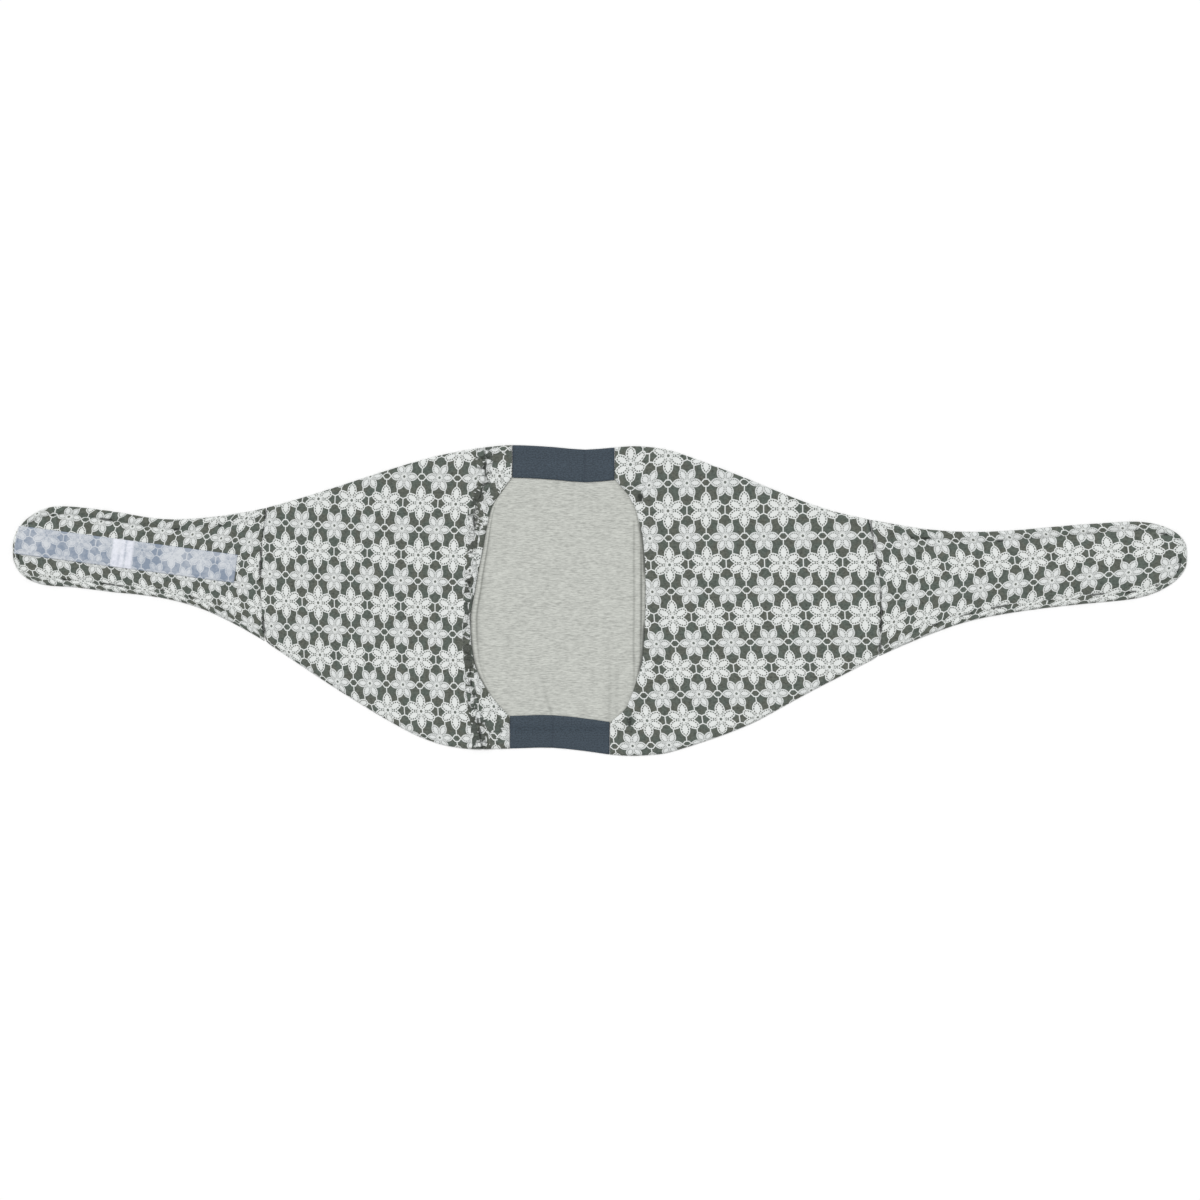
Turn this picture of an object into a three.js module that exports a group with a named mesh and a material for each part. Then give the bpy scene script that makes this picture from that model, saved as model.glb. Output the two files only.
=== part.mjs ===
// A maternity support belt, unfastened and laid flat, face up.
// Two printed cloth wings taper into fastening tails. Between them two elastic bands and a
// jersey panel bridge the belly window. The left tail carries a strip of hook tape, and the
// underside of the right tail the matching loop tape.
// Millimetres. +X runs along the belt to the right, +Y across it, +Z up from the surface that
// it lies on. The origin is at the middle of its footprint, on that surface.

import * as THREE from "three";

// Lengths along the belt
const LEFT_TAIL_LENGTH = 233;
const LEFT_PANEL_LENGTH = 226;
const WINDOW_LENGTH = 93; // the elastic that shows between the wings
const RIGHT_PANEL_LENGTH = 240;
const RIGHT_TAIL_LENGTH = 288;

// Sizes across the belt
const BELLY_WIDTH = 285; // the belt's width at the window
const TAIL_WIDTH = 72;
const TAIL_RISE = 50; // how far the left tail stands off the belt's middle line
const LEFT_TIP_ROUND = 43; // length of the half ellipse that ends the left tail
const RIGHT_TIP_ROUND = 57;
const TIP_FLAT = 9; // width of the blunt end of either tail

// Cloth
const WING_THICKNESS = 2.2; // printed cloth, face and back
const RIM_THICKNESS = 2.9; // the same with the seam allowance turned in
const SEAM_ALLOWANCE = 9;
const SEAM_GAP = 0.4; // between two pieces sewn edge to edge
const SEAM_DIP = 0.9; // how far the cloth sinks at such a seam
const LAY_GAP = 0.3; // between a piece and the one that it lies on
const DRAPE_LENGTH = 9; // the cloth comes down off an edge below it over this length

// The seams between tails and panels: how far each bows out, and how far its top leads its foot
const LEFT_SEAM = { bow: -5.5, lean: 1 };
const RIGHT_SEAM = { bow: 6, lean: -9 };

// The belly window
const ELASTIC_WIDTH = 30;
const ELASTIC_THICKNESS = 1.3;
const ELASTIC_CREASE = 0.5; // depth of the crease across each band
const LEFT_WINDOW_BULGE = 38; // how far the window widens past the elastic's end
const RIGHT_WINDOW_BULGE = 28;
const JERSEY_THICKNESS = 1.5;
const JERSEY_TUCK = 10; // jersey hidden under the wings' edges
const JERSEY_HEM = 7; // jersey hidden under each elastic band
const PLEAT_RISE = 1.1; // how far a folded jersey pleat stands above the flat jersey

// The gathers beside the window's left edge
const GATHER_FOLDS = 28;
const GATHER_RISE = 1.6; // crest above trough
const GATHER_REACH = 13; // how far they run to each side of the gathering stitches
const GATHER_CORNER = 28; // from the window's edge to the stitches at the belt's own edges
const GATHER_WAIST = 5; // and at the window's widest

// Hook and loop tape
const HOOK_LENGTH = 205;
const HOOK_WIDTH = 26;
const HOOK_THICKNESS = 0.8;
const HOOK_LAP = { start: 90, length: 18, rise: 0.5 }; // where two lengths of tape overlap
const HOOK_TILT = -7.6; // degrees from the belt's length
const HOOK_INSET = 2; // from the tail's outline
const HOOK_STIFFNESS = 6; // the tape bridges hollows that are narrower than twice this
const HOOK_OFFSET = 10; // of its left end from the middle of the tail's end
const LOOP_LENGTH = 190;
const LOOP_WIDTH = 34;
const LOOP_THICKNESS = 1;
const LOOP_TILT = 5.5;
const LOOP_INSET = 24;

// Sections of the belt. along: share of its stretch's length, from left to right.
// spread: 0 where the belt is as wide as its tails, 1 where it is as wide as at the window.
// rise: how far its centre stands off the middle line, as a share of TAIL_RISE.
const SECTIONS = [
  { stretch: "left tail", along: 0.0, spread: 0.004, rise: 0.93 },
  { stretch: "left tail", along: 0.185, spread: 0.008, rise: 1.0 },
  { stretch: "left tail", along: 0.385, spread: 0.01, rise: 0.905 },
  { stretch: "left tail", along: 0.58, spread: 0.0, rise: 0.78 },
  { stretch: "left tail", along: 0.738, spread: 0.048, rise: 0.69 },
  { stretch: "left tail", along: 0.876, spread: 0.137, rise: 0.58 },
  { stretch: "left tail", along: 1.0, spread: 0.241, rise: 0.47 },
  { stretch: "left panel", along: 0.197, spread: 0.441, rise: 0.3 },
  { stretch: "left panel", along: 0.442, spread: 0.69, rise: 0.13 },
  { stretch: "left panel", along: 0.645, spread: 0.872, rise: 0.025 },
  { stretch: "left panel", along: 0.788, spread: 0.945, rise: 0.015 },
  { stretch: "left panel", along: 0.91, spread: 0.966, rise: 0.05 },
  { stretch: "window", along: 0.0, spread: 0.972, rise: 0.07 },
  { stretch: "window", along: 0.376, spread: 0.961, rise: 0.062 },
  { stretch: "window", along: 0.723, spread: 0.963, rise: 0.005 },
  { stretch: "window", along: 1.0, spread: 0.989, rise: -0.012 },
  { stretch: "right panel", along: 0.103, spread: 1.0, rise: -0.005 },
  { stretch: "right panel", along: 0.199, spread: 0.98, rise: -0.012 },
  { stretch: "right panel", along: 0.333, spread: 0.88, rise: -0.02 },
  { stretch: "right panel", along: 0.525, spread: 0.718, rise: -0.03 },
  { stretch: "right panel", along: 0.716, spread: 0.51, rise: 0.035 },
  { stretch: "right panel", along: 0.87, spread: 0.365, rise: 0.105 },
  { stretch: "right tail", along: 0.02, spread: 0.24, rise: 0.22 },
  { stretch: "right tail", along: 0.162, spread: 0.124, rise: 0.33 },
  { stretch: "right tail", along: 0.306, spread: 0.045, rise: 0.445 },
  { stretch: "right tail", along: 0.45, spread: 0.015, rise: 0.54 },
  { stretch: "right tail", along: 0.626, spread: 0.006, rise: 0.65 },
  { stretch: "right tail", along: 0.802, spread: 0.0, rise: 0.73 },
  { stretch: "right tail", along: 1.0, spread: -0.01, rise: 0.83 },
];

// The window's sides, from the lower elastic (up 0) to the upper one (up 1).
// bulge: share of that side's WINDOW_BULGE.
const LEFT_WINDOW_SIDE = [
  { up: 0.0, bulge: 0.06 },
  { up: 0.055, bulge: 0.36 },
  { up: 0.11, bulge: 0.6 },
  { up: 0.17, bulge: 0.79 },
  { up: 0.24, bulge: 0.92 },
  { up: 0.34, bulge: 0.99 },
  { up: 0.45, bulge: 1.0 },
  { up: 0.57, bulge: 0.92 },
  { up: 0.7, bulge: 0.77 },
  { up: 0.81, bulge: 0.63 },
  { up: 0.9, bulge: 0.46 },
  { up: 0.95, bulge: 0.26 },
  { up: 1.0, bulge: 0.0 },
];
const RIGHT_WINDOW_SIDE = [
  { up: 0.0, bulge: -0.1 },
  { up: 0.05, bulge: 0.4 },
  { up: 0.09, bulge: 0.63 },
  { up: 0.15, bulge: 0.78 },
  { up: 0.23, bulge: 0.89 },
  { up: 0.33, bulge: 0.96 },
  { up: 0.48, bulge: 1.0 },
  { up: 0.62, bulge: 0.99 },
  { up: 0.75, bulge: 0.9 },
  { up: 0.85, bulge: 0.71 },
  { up: 0.91, bulge: 0.52 },
  { up: 0.96, bulge: 0.26 },
  { up: 1.0, bulge: 0.06 },
];

// Height of turned cloth beside its edge. inset: share of SEAM_ALLOWANCE.
// rim: how much of RIM_THICKNESS it has, and body: of WING_THICKNESS.
const TURNED_EDGE = [
  { inset: 0.0, rim: 0.42, body: 0 },
  { inset: 0.18, rim: 0.86, body: 0 },
  { inset: 0.45, rim: 1.0, body: 0 },
  { inset: 0.8, rim: 0.9, body: 0 },
  { inset: 1.05, rim: 0, body: 0.8 },
  { inset: 1.5, rim: 0, body: 1.0 },
];

// Tucks in the right wing beside the window's corners. up: as above. out: how far they lie
// from the window's side, reach: their radius, both as shares of RIGHT_WINDOW_BULGE.
// depth: share of WING_THICKNESS.
const TUCKS = [
  { up: 0.93, out: 0.5, reach: 0.35, depth: 0.4 },
  { up: 0.05, out: 0.45, reach: 0.3, depth: 0.3 },
];

// The jersey's columns, from left to right, by where they lie in from a side of the window:
// by a share of JERSEY_TUCK, of that side's WINDOW_BULGE, or of the way between the sides.
// pleat: height, as a share of PLEAT_RISE.
const JERSEY_COLUMNS = [
  { side: "left", tuck: -1, bulge: 0, across: 0, pleat: 0 },
  { side: "left", tuck: -0.5, bulge: 0, across: 0, pleat: 0 },
  { side: "left", tuck: 0, bulge: 0.025, across: 0, pleat: 0.1 },
  { side: "left", tuck: 0, bulge: 0.08, across: 0, pleat: 1 },
  { side: "left", tuck: 0, bulge: 0.12, across: 0, pleat: 0.75 },
  { side: "left", tuck: 0, bulge: 0.15, across: 0, pleat: -0.45 },
  { side: "left", tuck: 0, bulge: 0.21, across: 0, pleat: 0.25 },
  { side: "left", tuck: 0, bulge: 0.42, across: 0, pleat: 0 },
  { side: "left", tuck: 0, bulge: 0, across: 0.35, pleat: 0.2 },
  { side: "left", tuck: 0, bulge: 0, across: 0.5, pleat: 0.3 },
  { side: "right", tuck: 0, bulge: 0, across: 0.35, pleat: 0.2 },
  { side: "right", tuck: 0, bulge: 0.64, across: 0, pleat: 0 },
  { side: "right", tuck: 0, bulge: 0.45, across: 0, pleat: 0.2 },
  { side: "right", tuck: 0, bulge: 0.4, across: 0, pleat: -0.45 },
  { side: "right", tuck: 0, bulge: 0.34, across: 0, pleat: 0.8 },
  { side: "right", tuck: 0, bulge: 0.25, across: 0, pleat: 0.95 },
  { side: "right", tuck: 0, bulge: 0.16, across: 0, pleat: -0.45 },
  { side: "right", tuck: 0, bulge: 0.09, across: 0, pleat: 0.6 },
  { side: "right", tuck: 0, bulge: 0.03, across: 0, pleat: 0.1 },
  { side: "right", tuck: -0.5, bulge: 0, across: 0, pleat: 0 },
  { side: "right", tuck: -1, bulge: 0, across: 0, pleat: 0 },
];

// Where the pleats begin and end, from the jersey's lower hem (0) to its upper one (1)
const PLEAT_RUN = { start: 0.06, full: 0.25, fade: 0.75, end: 0.94 };

// Where the crease lies along each elastic band
const UPPER_CREASE = 0.71;
const LOWER_CREASE = 0.43;

// Facets
const EDGE_STEPS = 60; // points on each line that distances are measured to
const TIP_COLUMNS = 8;
const TAIL_COLUMNS = 14;
const TAIL_ROWS = 4;
const PANEL_COLUMNS = 8;
const PANEL_ROWS = 7;
const GATHER_COLUMNS = 5;
const JERSEY_ROWS = 16;
const ELASTIC_COLUMNS = 7;
const ELASTIC_ROWS = 6;
const HOOK_COLUMNS = 14;
const HOOK_ROWS = 6;
const HOOK_BEARINGS = 8; // directions in which the tape feels for what it lies on
const EDGE_ROWS_SHARE = 0.87; // of half the width, at most, that the rows by an edge take

const { lerp, clamp, smoothstep, degToRad } = THREE.MathUtils;

// Even steps from 0 to 1, both included
function steps(count) {
  const whole = Math.max(Math.round(count), 1);
  return Array.from({ length: whole + 1 }, (_, i) => i / whole);
}

// Smooth curve through a table's rows: column `value` against column `key`.
function curveThrough(rows, key, value, at) {
  const last = rows.length - 1;
  if (at <= rows[0][key]) return rows[0][value];
  if (at >= rows[last][key]) return rows[last][value];
  const i = rows.findIndex((row) => row[key] > at) - 1;
  const slope = (j) => {
    const before = rows[Math.max(j - 1, 0)];
    const after = rows[Math.min(j + 1, last)];
    return (after[value] - before[value]) / (after[key] - before[key]);
  };
  const span = rows[i + 1][key] - rows[i][key];
  const u = (at - rows[i][key]) / span;
  const start = rows[i][value] * (1 + 2 * u) * (1 - u) ** 2;
  const end = rows[i + 1][value] * u * u * (3 - 2 * u);
  const startSlope = slope(i) * span * u * (1 - u) ** 2;
  const endSlope = slope(i + 1) * span * u * u * (u - 1);
  return start + end + startSlope + endSlope;
}

// Straight lines between a table's rows.
function linesThrough(rows, key, value, at) {
  const after = rows.findIndex((row) => row[key] > at);
  if (after === 0) return rows[0][value];
  if (after < 0) return rows.at(-1)[value];
  const [a, b] = [rows[after - 1], rows[after]];
  return lerp(a[value], b[value], (at - a[key]) / (b[key] - a[key]));
}

// The belt's stretches, from left to right, one starting where the last one ends
const BELT_LENGTH =
  LEFT_TAIL_LENGTH +
  LEFT_PANEL_LENGTH +
  WINDOW_LENGTH +
  RIGHT_PANEL_LENGTH +
  RIGHT_TAIL_LENGTH;
const LEFT_END = -BELT_LENGTH / 2;
const LEFT_SEAM_X = LEFT_END + LEFT_TAIL_LENGTH;
const WINDOW_LEFT = LEFT_SEAM_X + LEFT_PANEL_LENGTH;
const WINDOW_RIGHT = WINDOW_LEFT + WINDOW_LENGTH;
const RIGHT_SEAM_X = WINDOW_RIGHT + RIGHT_PANEL_LENGTH;
const RIGHT_END = RIGHT_SEAM_X + RIGHT_TAIL_LENGTH;
const STRETCHES = {
  "left tail": { start: LEFT_END, length: LEFT_TAIL_LENGTH },
  "left panel": { start: LEFT_SEAM_X, length: LEFT_PANEL_LENGTH },
  window: { start: WINDOW_LEFT, length: WINDOW_LENGTH },
  "right panel": { start: WINDOW_RIGHT, length: RIGHT_PANEL_LENGTH },
  "right tail": { start: RIGHT_SEAM_X, length: RIGHT_TAIL_LENGTH },
};
const stations = SECTIONS.map((row) => {
  const stretch = STRETCHES[row.stretch];
  return { ...row, x: stretch.start + row.along * stretch.length };
});

// Share of its width that the belt has left at x, where a tail's end rounds off.
function roundOff(x) {
  const left = (x - LEFT_END) / LEFT_TIP_ROUND;
  const right = (RIGHT_END - x) / RIGHT_TIP_ROUND;
  const share = clamp(Math.min(left, right), 0, 1);
  return Math.sqrt(1 - (1 - share) ** 2);
}

function sectionAt(x) {
  const spread = curveThrough(stations, "x", "spread", x);
  const rise = curveThrough(stations, "x", "rise", x);
  const fullHalf = lerp(TAIL_WIDTH, BELLY_WIDTH, spread) / 2;
  return { centre: TAIL_RISE * rise, half: lerp(TIP_FLAT / 2, fullHalf, roundOff(x)) };
}

// The belt is moved across so that its footprint is centred on the origin.
function footprintMiddle() {
  const sections = steps(BELT_LENGTH).map((share) => sectionAt(lerp(LEFT_END, RIGHT_END, share)));
  const low = Math.min(...sections.map(({ centre, half }) => centre - half));
  const high = Math.max(...sections.map(({ centre, half }) => centre + half));
  return (low + high) / 2;
}
const MIDDLE = footprintMiddle();

const centreAt = (x) => sectionAt(x).centre - MIDDLE;
const topEdge = (x) => centreAt(x) + sectionAt(x).half;
const bottomEdge = (x) => centreAt(x) - sectionAt(x).half;

// A point of the footprint, `across` of the way from the bottom edge to the top edge.
function onBelt(x, across) {
  return new THREE.Vector2(x, lerp(bottomEdge(x), topEdge(x), across));
}

// Lines across the belt, as x against `across`
const seamLine = (base, seam) => (across) =>
  base + seam.lean * (across - 0.5) + seam.bow * 4 * across * (1 - across);
const leftSeam = seamLine(LEFT_SEAM_X, LEFT_SEAM);
const rightSeam = seamLine(RIGHT_SEAM_X, RIGHT_SEAM);

function windowBulge(rows, base, across) {
  const top = topEdge(base) - ELASTIC_WIDTH;
  const bottom = bottomEdge(base) + ELASTIC_WIDTH;
  const up = (onBelt(base, across).y - bottom) / (top - bottom);
  return curveThrough(rows, "up", "bulge", up);
}
const leftWindowSide = (across) =>
  WINDOW_LEFT - LEFT_WINDOW_BULGE * windowBulge(LEFT_WINDOW_SIDE, WINDOW_LEFT, across);
const rightWindowSide = (across) =>
  WINDOW_RIGHT + RIGHT_WINDOW_BULGE * windowBulge(RIGHT_WINDOW_SIDE, WINDOW_RIGHT, across);

const lineAcross = (xAt) => steps(EDGE_STEPS).map((across) => onBelt(xAt(across), across));

// An edge between two places, with its points closer together at its ends
function lineAlong(edge, from, to) {
  return steps(EDGE_STEPS).map((share) => {
    const x = lerp(from, to, (1 - Math.cos(Math.PI * share)) / 2);
    return new THREE.Vector2(x, edge(x));
  });
}

function distanceTo(line, point) {
  const along = new THREE.Vector2();
  const out = new THREE.Vector2();
  const distances = line.slice(1).map((end, i) => {
    along.subVectors(end, line[i]);
    out.subVectors(point, line[i]);
    const share = clamp(out.dot(along) / along.lengthSq(), 0, 1);
    return out.addScaledVector(along, -share).length();
  });
  return Math.min(...distances);
}

function isInside(outline, point) {
  let inside = false;
  outline.forEach((a, i) => {
    const b = outline[(i + 1) % outline.length];
    const crossing = a.x + ((point.y - a.y) / (b.y - a.y)) * (b.x - a.x);
    if (a.y > point.y !== b.y > point.y && point.x < crossing) inside = !inside;
  });
  return inside;
}

// Heights of the cloth
const turnedEdge = TURNED_EDGE.map(({ inset, rim, body }) => ({
  inset: inset * SEAM_ALLOWANCE,
  height: rim * RIM_THICKNESS + body * WING_THICKNESS,
}));
const turnedInsets = turnedEdge.map((row) => row.inset);
const SEAM_DIP_REACH = SEAM_ALLOWANCE / 2;
const turnedHeight = (inset) => linesThrough(turnedEdge, "inset", "height", inset);
const seamDip = (inset) => SEAM_DIP * (1 - smoothstep(inset, 0, SEAM_DIP_REACH));

// How far a flat layer lifts the cloth that lies over it and comes down beside it.
function liftOver(layer, point) {
  const lift = layer.thickness + LAY_GAP;
  if (isInside(layer.outline, point)) return lift;
  const away = distanceTo([...layer.outline, layer.outline[0]], point);
  return lift * (1 - smoothstep(away, DRAPE_LENGTH / 2, 1.5 * DRAPE_LENGTH));
}

// A closed slab: a box of facets whose corners are moved to where `place` says.
// place(column, row) gives its point and its bottom and top there.
function slab(columns, rows, place) {
  const geometry = new THREE.BoxGeometry(1, 1, 1, columns.length - 1, rows.length - 1, 1);
  const position = geometry.getAttribute("position");
  for (let i = 0; i < position.count; i++) {
    const column = Math.round((position.getX(i) + 0.5) * (columns.length - 1));
    const row = Math.round((position.getY(i) + 0.5) * (rows.length - 1));
    const { point, bottom, top } = place(columns[column], rows[row]);
    position.setXYZ(i, point.x, point.y, position.getZ(i) > 0 ? top : bottom);
  }
  geometry.computeVertexNormals();
  return geometry;
}

// Rows across a wing: some at insets from each edge, the rest evenly between. Each gives
// `across` for the half width that the wing has there.
function rowsAcross(insets, innerCount) {
  const reach = insets.at(-1);
  const inFrom = (inset, half) =>
    (inset / (2 * half)) * Math.min(1, (half * EDGE_ROWS_SHARE) / reach || 1);
  const lower = insets.map((inset) => (half) => inFrom(inset, half));
  const inner = steps(innerCount).slice(1, -1);
  return [
    ...lower,
    ...inner.map((share) => (half) => lerp(inFrom(reach, half), 1 - inFrom(reach, half), share)),
    ...lower.toReversed().map((row) => (half) => 1 - row(half)),
  ];
}

// Columns from one line across the belt to another: some at insets from each of the two, the
// rest evenly between. Each gives x against `across`, and they run from left to right.
function columnsBetween(start, startInsets, end, endInsets, innerCount) {
  const way = Math.sign(end(0.5) - start(0.5));
  const firstX = (across) => start(across) + way * startInsets.at(-1);
  const lastX = (across) => end(across) - way * endInsets.at(-1);
  const inner = steps(innerCount).slice(1, -1);
  const columns = [
    ...startInsets.map((inset) => (across) => start(across) + way * inset),
    ...inner.map((share) => (across) => lerp(firstX(across), lastX(across), share)),
    ...endInsets.toReversed().map((inset) => (across) => end(across) - way * inset),
  ];
  return way > 0 ? columns : columns.reverse();
}

// Where a column and a row of a wing meet
function crossing(column, row) {
  const rough = sectionAt(column(0.5)).half;
  const across = row(sectionAt(column(row(rough))).half);
  return { across, point: onBelt(column(across), across) };
}

// The jersey, as the layer that the wings and the elastics lie over
const HEM_TOP = topEdge(WINDOW_LEFT) - ELASTIC_WIDTH + JERSEY_HEM;
const HEM_BOTTOM = bottomEdge(WINDOW_LEFT) + ELASTIC_WIDTH - JERSEY_HEM;
function acrossAt(x, y) {
  return (y - bottomEdge(x)) / (topEdge(x) - bottomEdge(x));
}
function jerseyPoint(column, up) {
  const y = lerp(HEM_BOTTOM, HEM_TOP, up);
  const left = leftWindowSide(acrossAt(WINDOW_LEFT, y));
  const right = rightWindowSide(acrossAt(WINDOW_RIGHT, y));
  const isLeft = column.side === "left";
  const bulge = column.bulge * (isLeft ? LEFT_WINDOW_BULGE : RIGHT_WINDOW_BULGE);
  const inward = column.tuck * JERSEY_TUCK + bulge + column.across * (right - left);
  return new THREE.Vector2(isLeft ? left + inward : right - inward, y);
}
const jerseyLayer = {
  thickness: JERSEY_THICKNESS,
  outline: [
    ...steps(EDGE_STEPS).map((up) => jerseyPoint(JERSEY_COLUMNS.at(-1), up)),
    ...steps(EDGE_STEPS).map((up) => jerseyPoint(JERSEY_COLUMNS[0], 1 - up)),
  ],
};

// Tape is laid out from its end, along a tilted centre line.
function tapeLine(start, tiltDegrees) {
  const tilt = degToRad(tiltDegrees);
  const along = new THREE.Vector2(Math.cos(tilt), Math.sin(tilt));
  const across = new THREE.Vector2(-along.y, along.x);
  return (distance, offset) =>
    start.clone().addScaledVector(along, distance).addScaledVector(across, offset);
}
const LOOP_END_X = RIGHT_END - LOOP_INSET;
const loopPoint = tapeLine(new THREE.Vector2(LOOP_END_X, centreAt(LOOP_END_X)), LOOP_TILT);
const loopLayer = {
  thickness: LOOP_THICKNESS,
  outline: [
    loopPoint(-LOOP_LENGTH, -LOOP_WIDTH / 2),
    loopPoint(0, -LOOP_WIDTH / 2),
    loopPoint(0, LOOP_WIDTH / 2),
    loopPoint(-LOOP_LENGTH, LOOP_WIDTH / 2),
  ],
};

// A tail: `end` is where it ends, `seam` the line where it meets its panel, and `lift(point)`
// how high its underside lies.
function tail({ end, seam, tipRound, lift }) {
  const tipInsets = steps(TIP_COLUMNS).map((turn) => tipRound * (1 - Math.cos((turn * Math.PI) / 2)));
  const columns = columnsBetween(() => end, tipInsets, seam, [0, SEAM_DIP_REACH], TAIL_COLUMNS);
  const outline = [...lineAlong(topEdge, seam(1), end), ...lineAlong(bottomEdge, end, seam(0))];
  const seamPoints = lineAcross(seam);
  const topAt = (point) => {
    const thickness = turnedHeight(distanceTo(outline, point));
    return lift(point) + thickness - seamDip(distanceTo(seamPoints, point));
  };
  const geometry = slab(columns, rowsAcross(turnedInsets, TAIL_ROWS), (column, row) => {
    const { point } = crossing(column, row);
    return { point, bottom: lift(point), top: topAt(point) };
  });
  return { geometry, outline, topAt };
}

function leftTail() {
  return tail({
    end: LEFT_END,
    seam: (across) => leftSeam(across) - SEAM_GAP / 2,
    tipRound: LEFT_TIP_ROUND,
    lift: () => 0,
  });
}

function rightTail() {
  return tail({
    end: RIGHT_END,
    seam: (across) => rightSeam(across) + SEAM_GAP / 2,
    tipRound: RIGHT_TIP_ROUND,
    lift: (point) => liftOver(loopLayer, point),
  });
}

// A panel between the window's side and the seam with its tail. fold(point, across) lifts its
// cloth, and dent(point) presses its face in.
function panel({ side, seam, sideInsets, rows, fold, dent }) {
  const columns = columnsBetween(side, sideInsets, seam, [0, SEAM_DIP_REACH], PANEL_COLUMNS);
  const seamPoints = lineAcross(seam);
  const ends = [side(0), side(1), side(0.5), seam(0), seam(1), seam(0.5)];
  const [leftmost, rightmost] = [Math.min(...ends), Math.max(...ends)];
  const edges = [
    lineAlong(topEdge, leftmost, rightmost),
    lineAlong(bottomEdge, leftmost, rightmost),
    lineAcross(side),
  ];
  return slab(columns, rows, (column, row) => {
    const { across, point } = crossing(column, row);
    const inset = Math.min(...edges.map((line) => distanceTo(line, point)));
    const bottom = liftOver(jerseyLayer, point) + fold(point, across);
    const pressed = seamDip(distanceTo(seamPoints, point)) + dent(point);
    return { point, bottom, top: bottom + turnedHeight(inset) - pressed };
  });
}

// The line of gathering stitches, from the belt's lower edge to its upper one
function gatherLine(across) {
  const bow = Math.sin(Math.PI * clamp(across, 0, 1));
  return WINDOW_LEFT - lerp(GATHER_CORNER, LEFT_WINDOW_BULGE + GATHER_WAIST, bow);
}

// Folds that alternate from one row to the next and differ a little in height
function gatherFold(point, across) {
  const fold = across * Math.round(GATHER_FOLDS);
  const crest = (1 - Math.cos(2 * Math.PI * fold)) / 2;
  const uneven = 0.75 + 0.25 * Math.sin(2.3 * fold);
  const away = Math.abs(point.x - gatherLine(across)) / GATHER_REACH;
  return GATHER_RISE * crest * uneven * (1 - smoothstep(away, 0, 1));
}

function leftPanel() {
  const gathered = GATHER_CORNER + GATHER_REACH;
  const gatherInsets = steps(GATHER_COLUMNS).map((share) => share * gathered);
  const rimInsets = turnedInsets.filter((inset) => inset < gatherInsets[1]);
  return panel({
    side: leftWindowSide,
    seam: (across) => leftSeam(across) + SEAM_GAP / 2,
    sideInsets: [...rimInsets, ...gatherInsets.slice(1)],
    rows: rowsAcross([0], 2 * Math.round(GATHER_FOLDS)),
    fold: gatherFold,
    dent: () => 0,
  });
}

function tuckDent(point) {
  const dents = TUCKS.map(({ up, out, reach, depth }) => {
    const centre = jerseyPoint({ side: "right", tuck: 0, bulge: -out, across: 0 }, up);
    const away = centre.distanceTo(point) / (reach * RIGHT_WINDOW_BULGE);
    return depth * WING_THICKNESS * (1 - smoothstep(away, 0, 1));
  });
  return Math.max(...dents);
}

function rightPanel() {
  const hem = ELASTIC_WIDTH - JERSEY_HEM;
  const cornerInsets = [0, 1, 2, 3, 5].map((place) => hem + place * JERSEY_HEM);
  return panel({
    side: rightWindowSide,
    seam: (across) => rightSeam(across) - SEAM_GAP / 2,
    sideInsets: [...turnedInsets, turnedInsets.at(-1) + DRAPE_LENGTH],
    rows: rowsAcross([...turnedInsets, ...cornerInsets], PANEL_ROWS),
    fold: () => 0,
    dent: tuckDent,
  });
}

function bellyPanel() {
  const rows = steps(JERSEY_ROWS).map((share) => (1 - Math.cos(Math.PI * share)) / 2);
  return slab(JERSEY_COLUMNS, rows, (column, up) => {
    const rises = smoothstep(up, PLEAT_RUN.start, PLEAT_RUN.full);
    const falls = smoothstep(up, PLEAT_RUN.fade, PLEAT_RUN.end);
    const top = JERSEY_THICKNESS + PLEAT_RISE * column.pleat * rises * (1 - falls);
    return { point: jerseyPoint(column, up), bottom: 0, top };
  });
}

// An elastic band along one edge of the belt, where `across` is 0 or 1
function elasticBand(edge, across, creaseAlong) {
  const start = leftWindowSide(across) + SEAM_GAP;
  const end = rightWindowSide(across) - SEAM_GAP;
  const rows = steps(ELASTIC_ROWS).map((share) => share - across);
  return slab(steps(ELASTIC_COLUMNS), rows, (along, row) => {
    const x = lerp(start, end, along);
    const point = new THREE.Vector2(x, edge(x) + row * ELASTIC_WIDTH);
    const bottom = liftOver(jerseyLayer, point);
    const fromCrease = Math.abs(along - creaseAlong) * ELASTIC_COLUMNS;
    const crease = ELASTIC_CREASE * Math.max(1 - fromCrease, 0);
    return { point, bottom, top: bottom + ELASTIC_THICKNESS - crease };
  });
}

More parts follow.
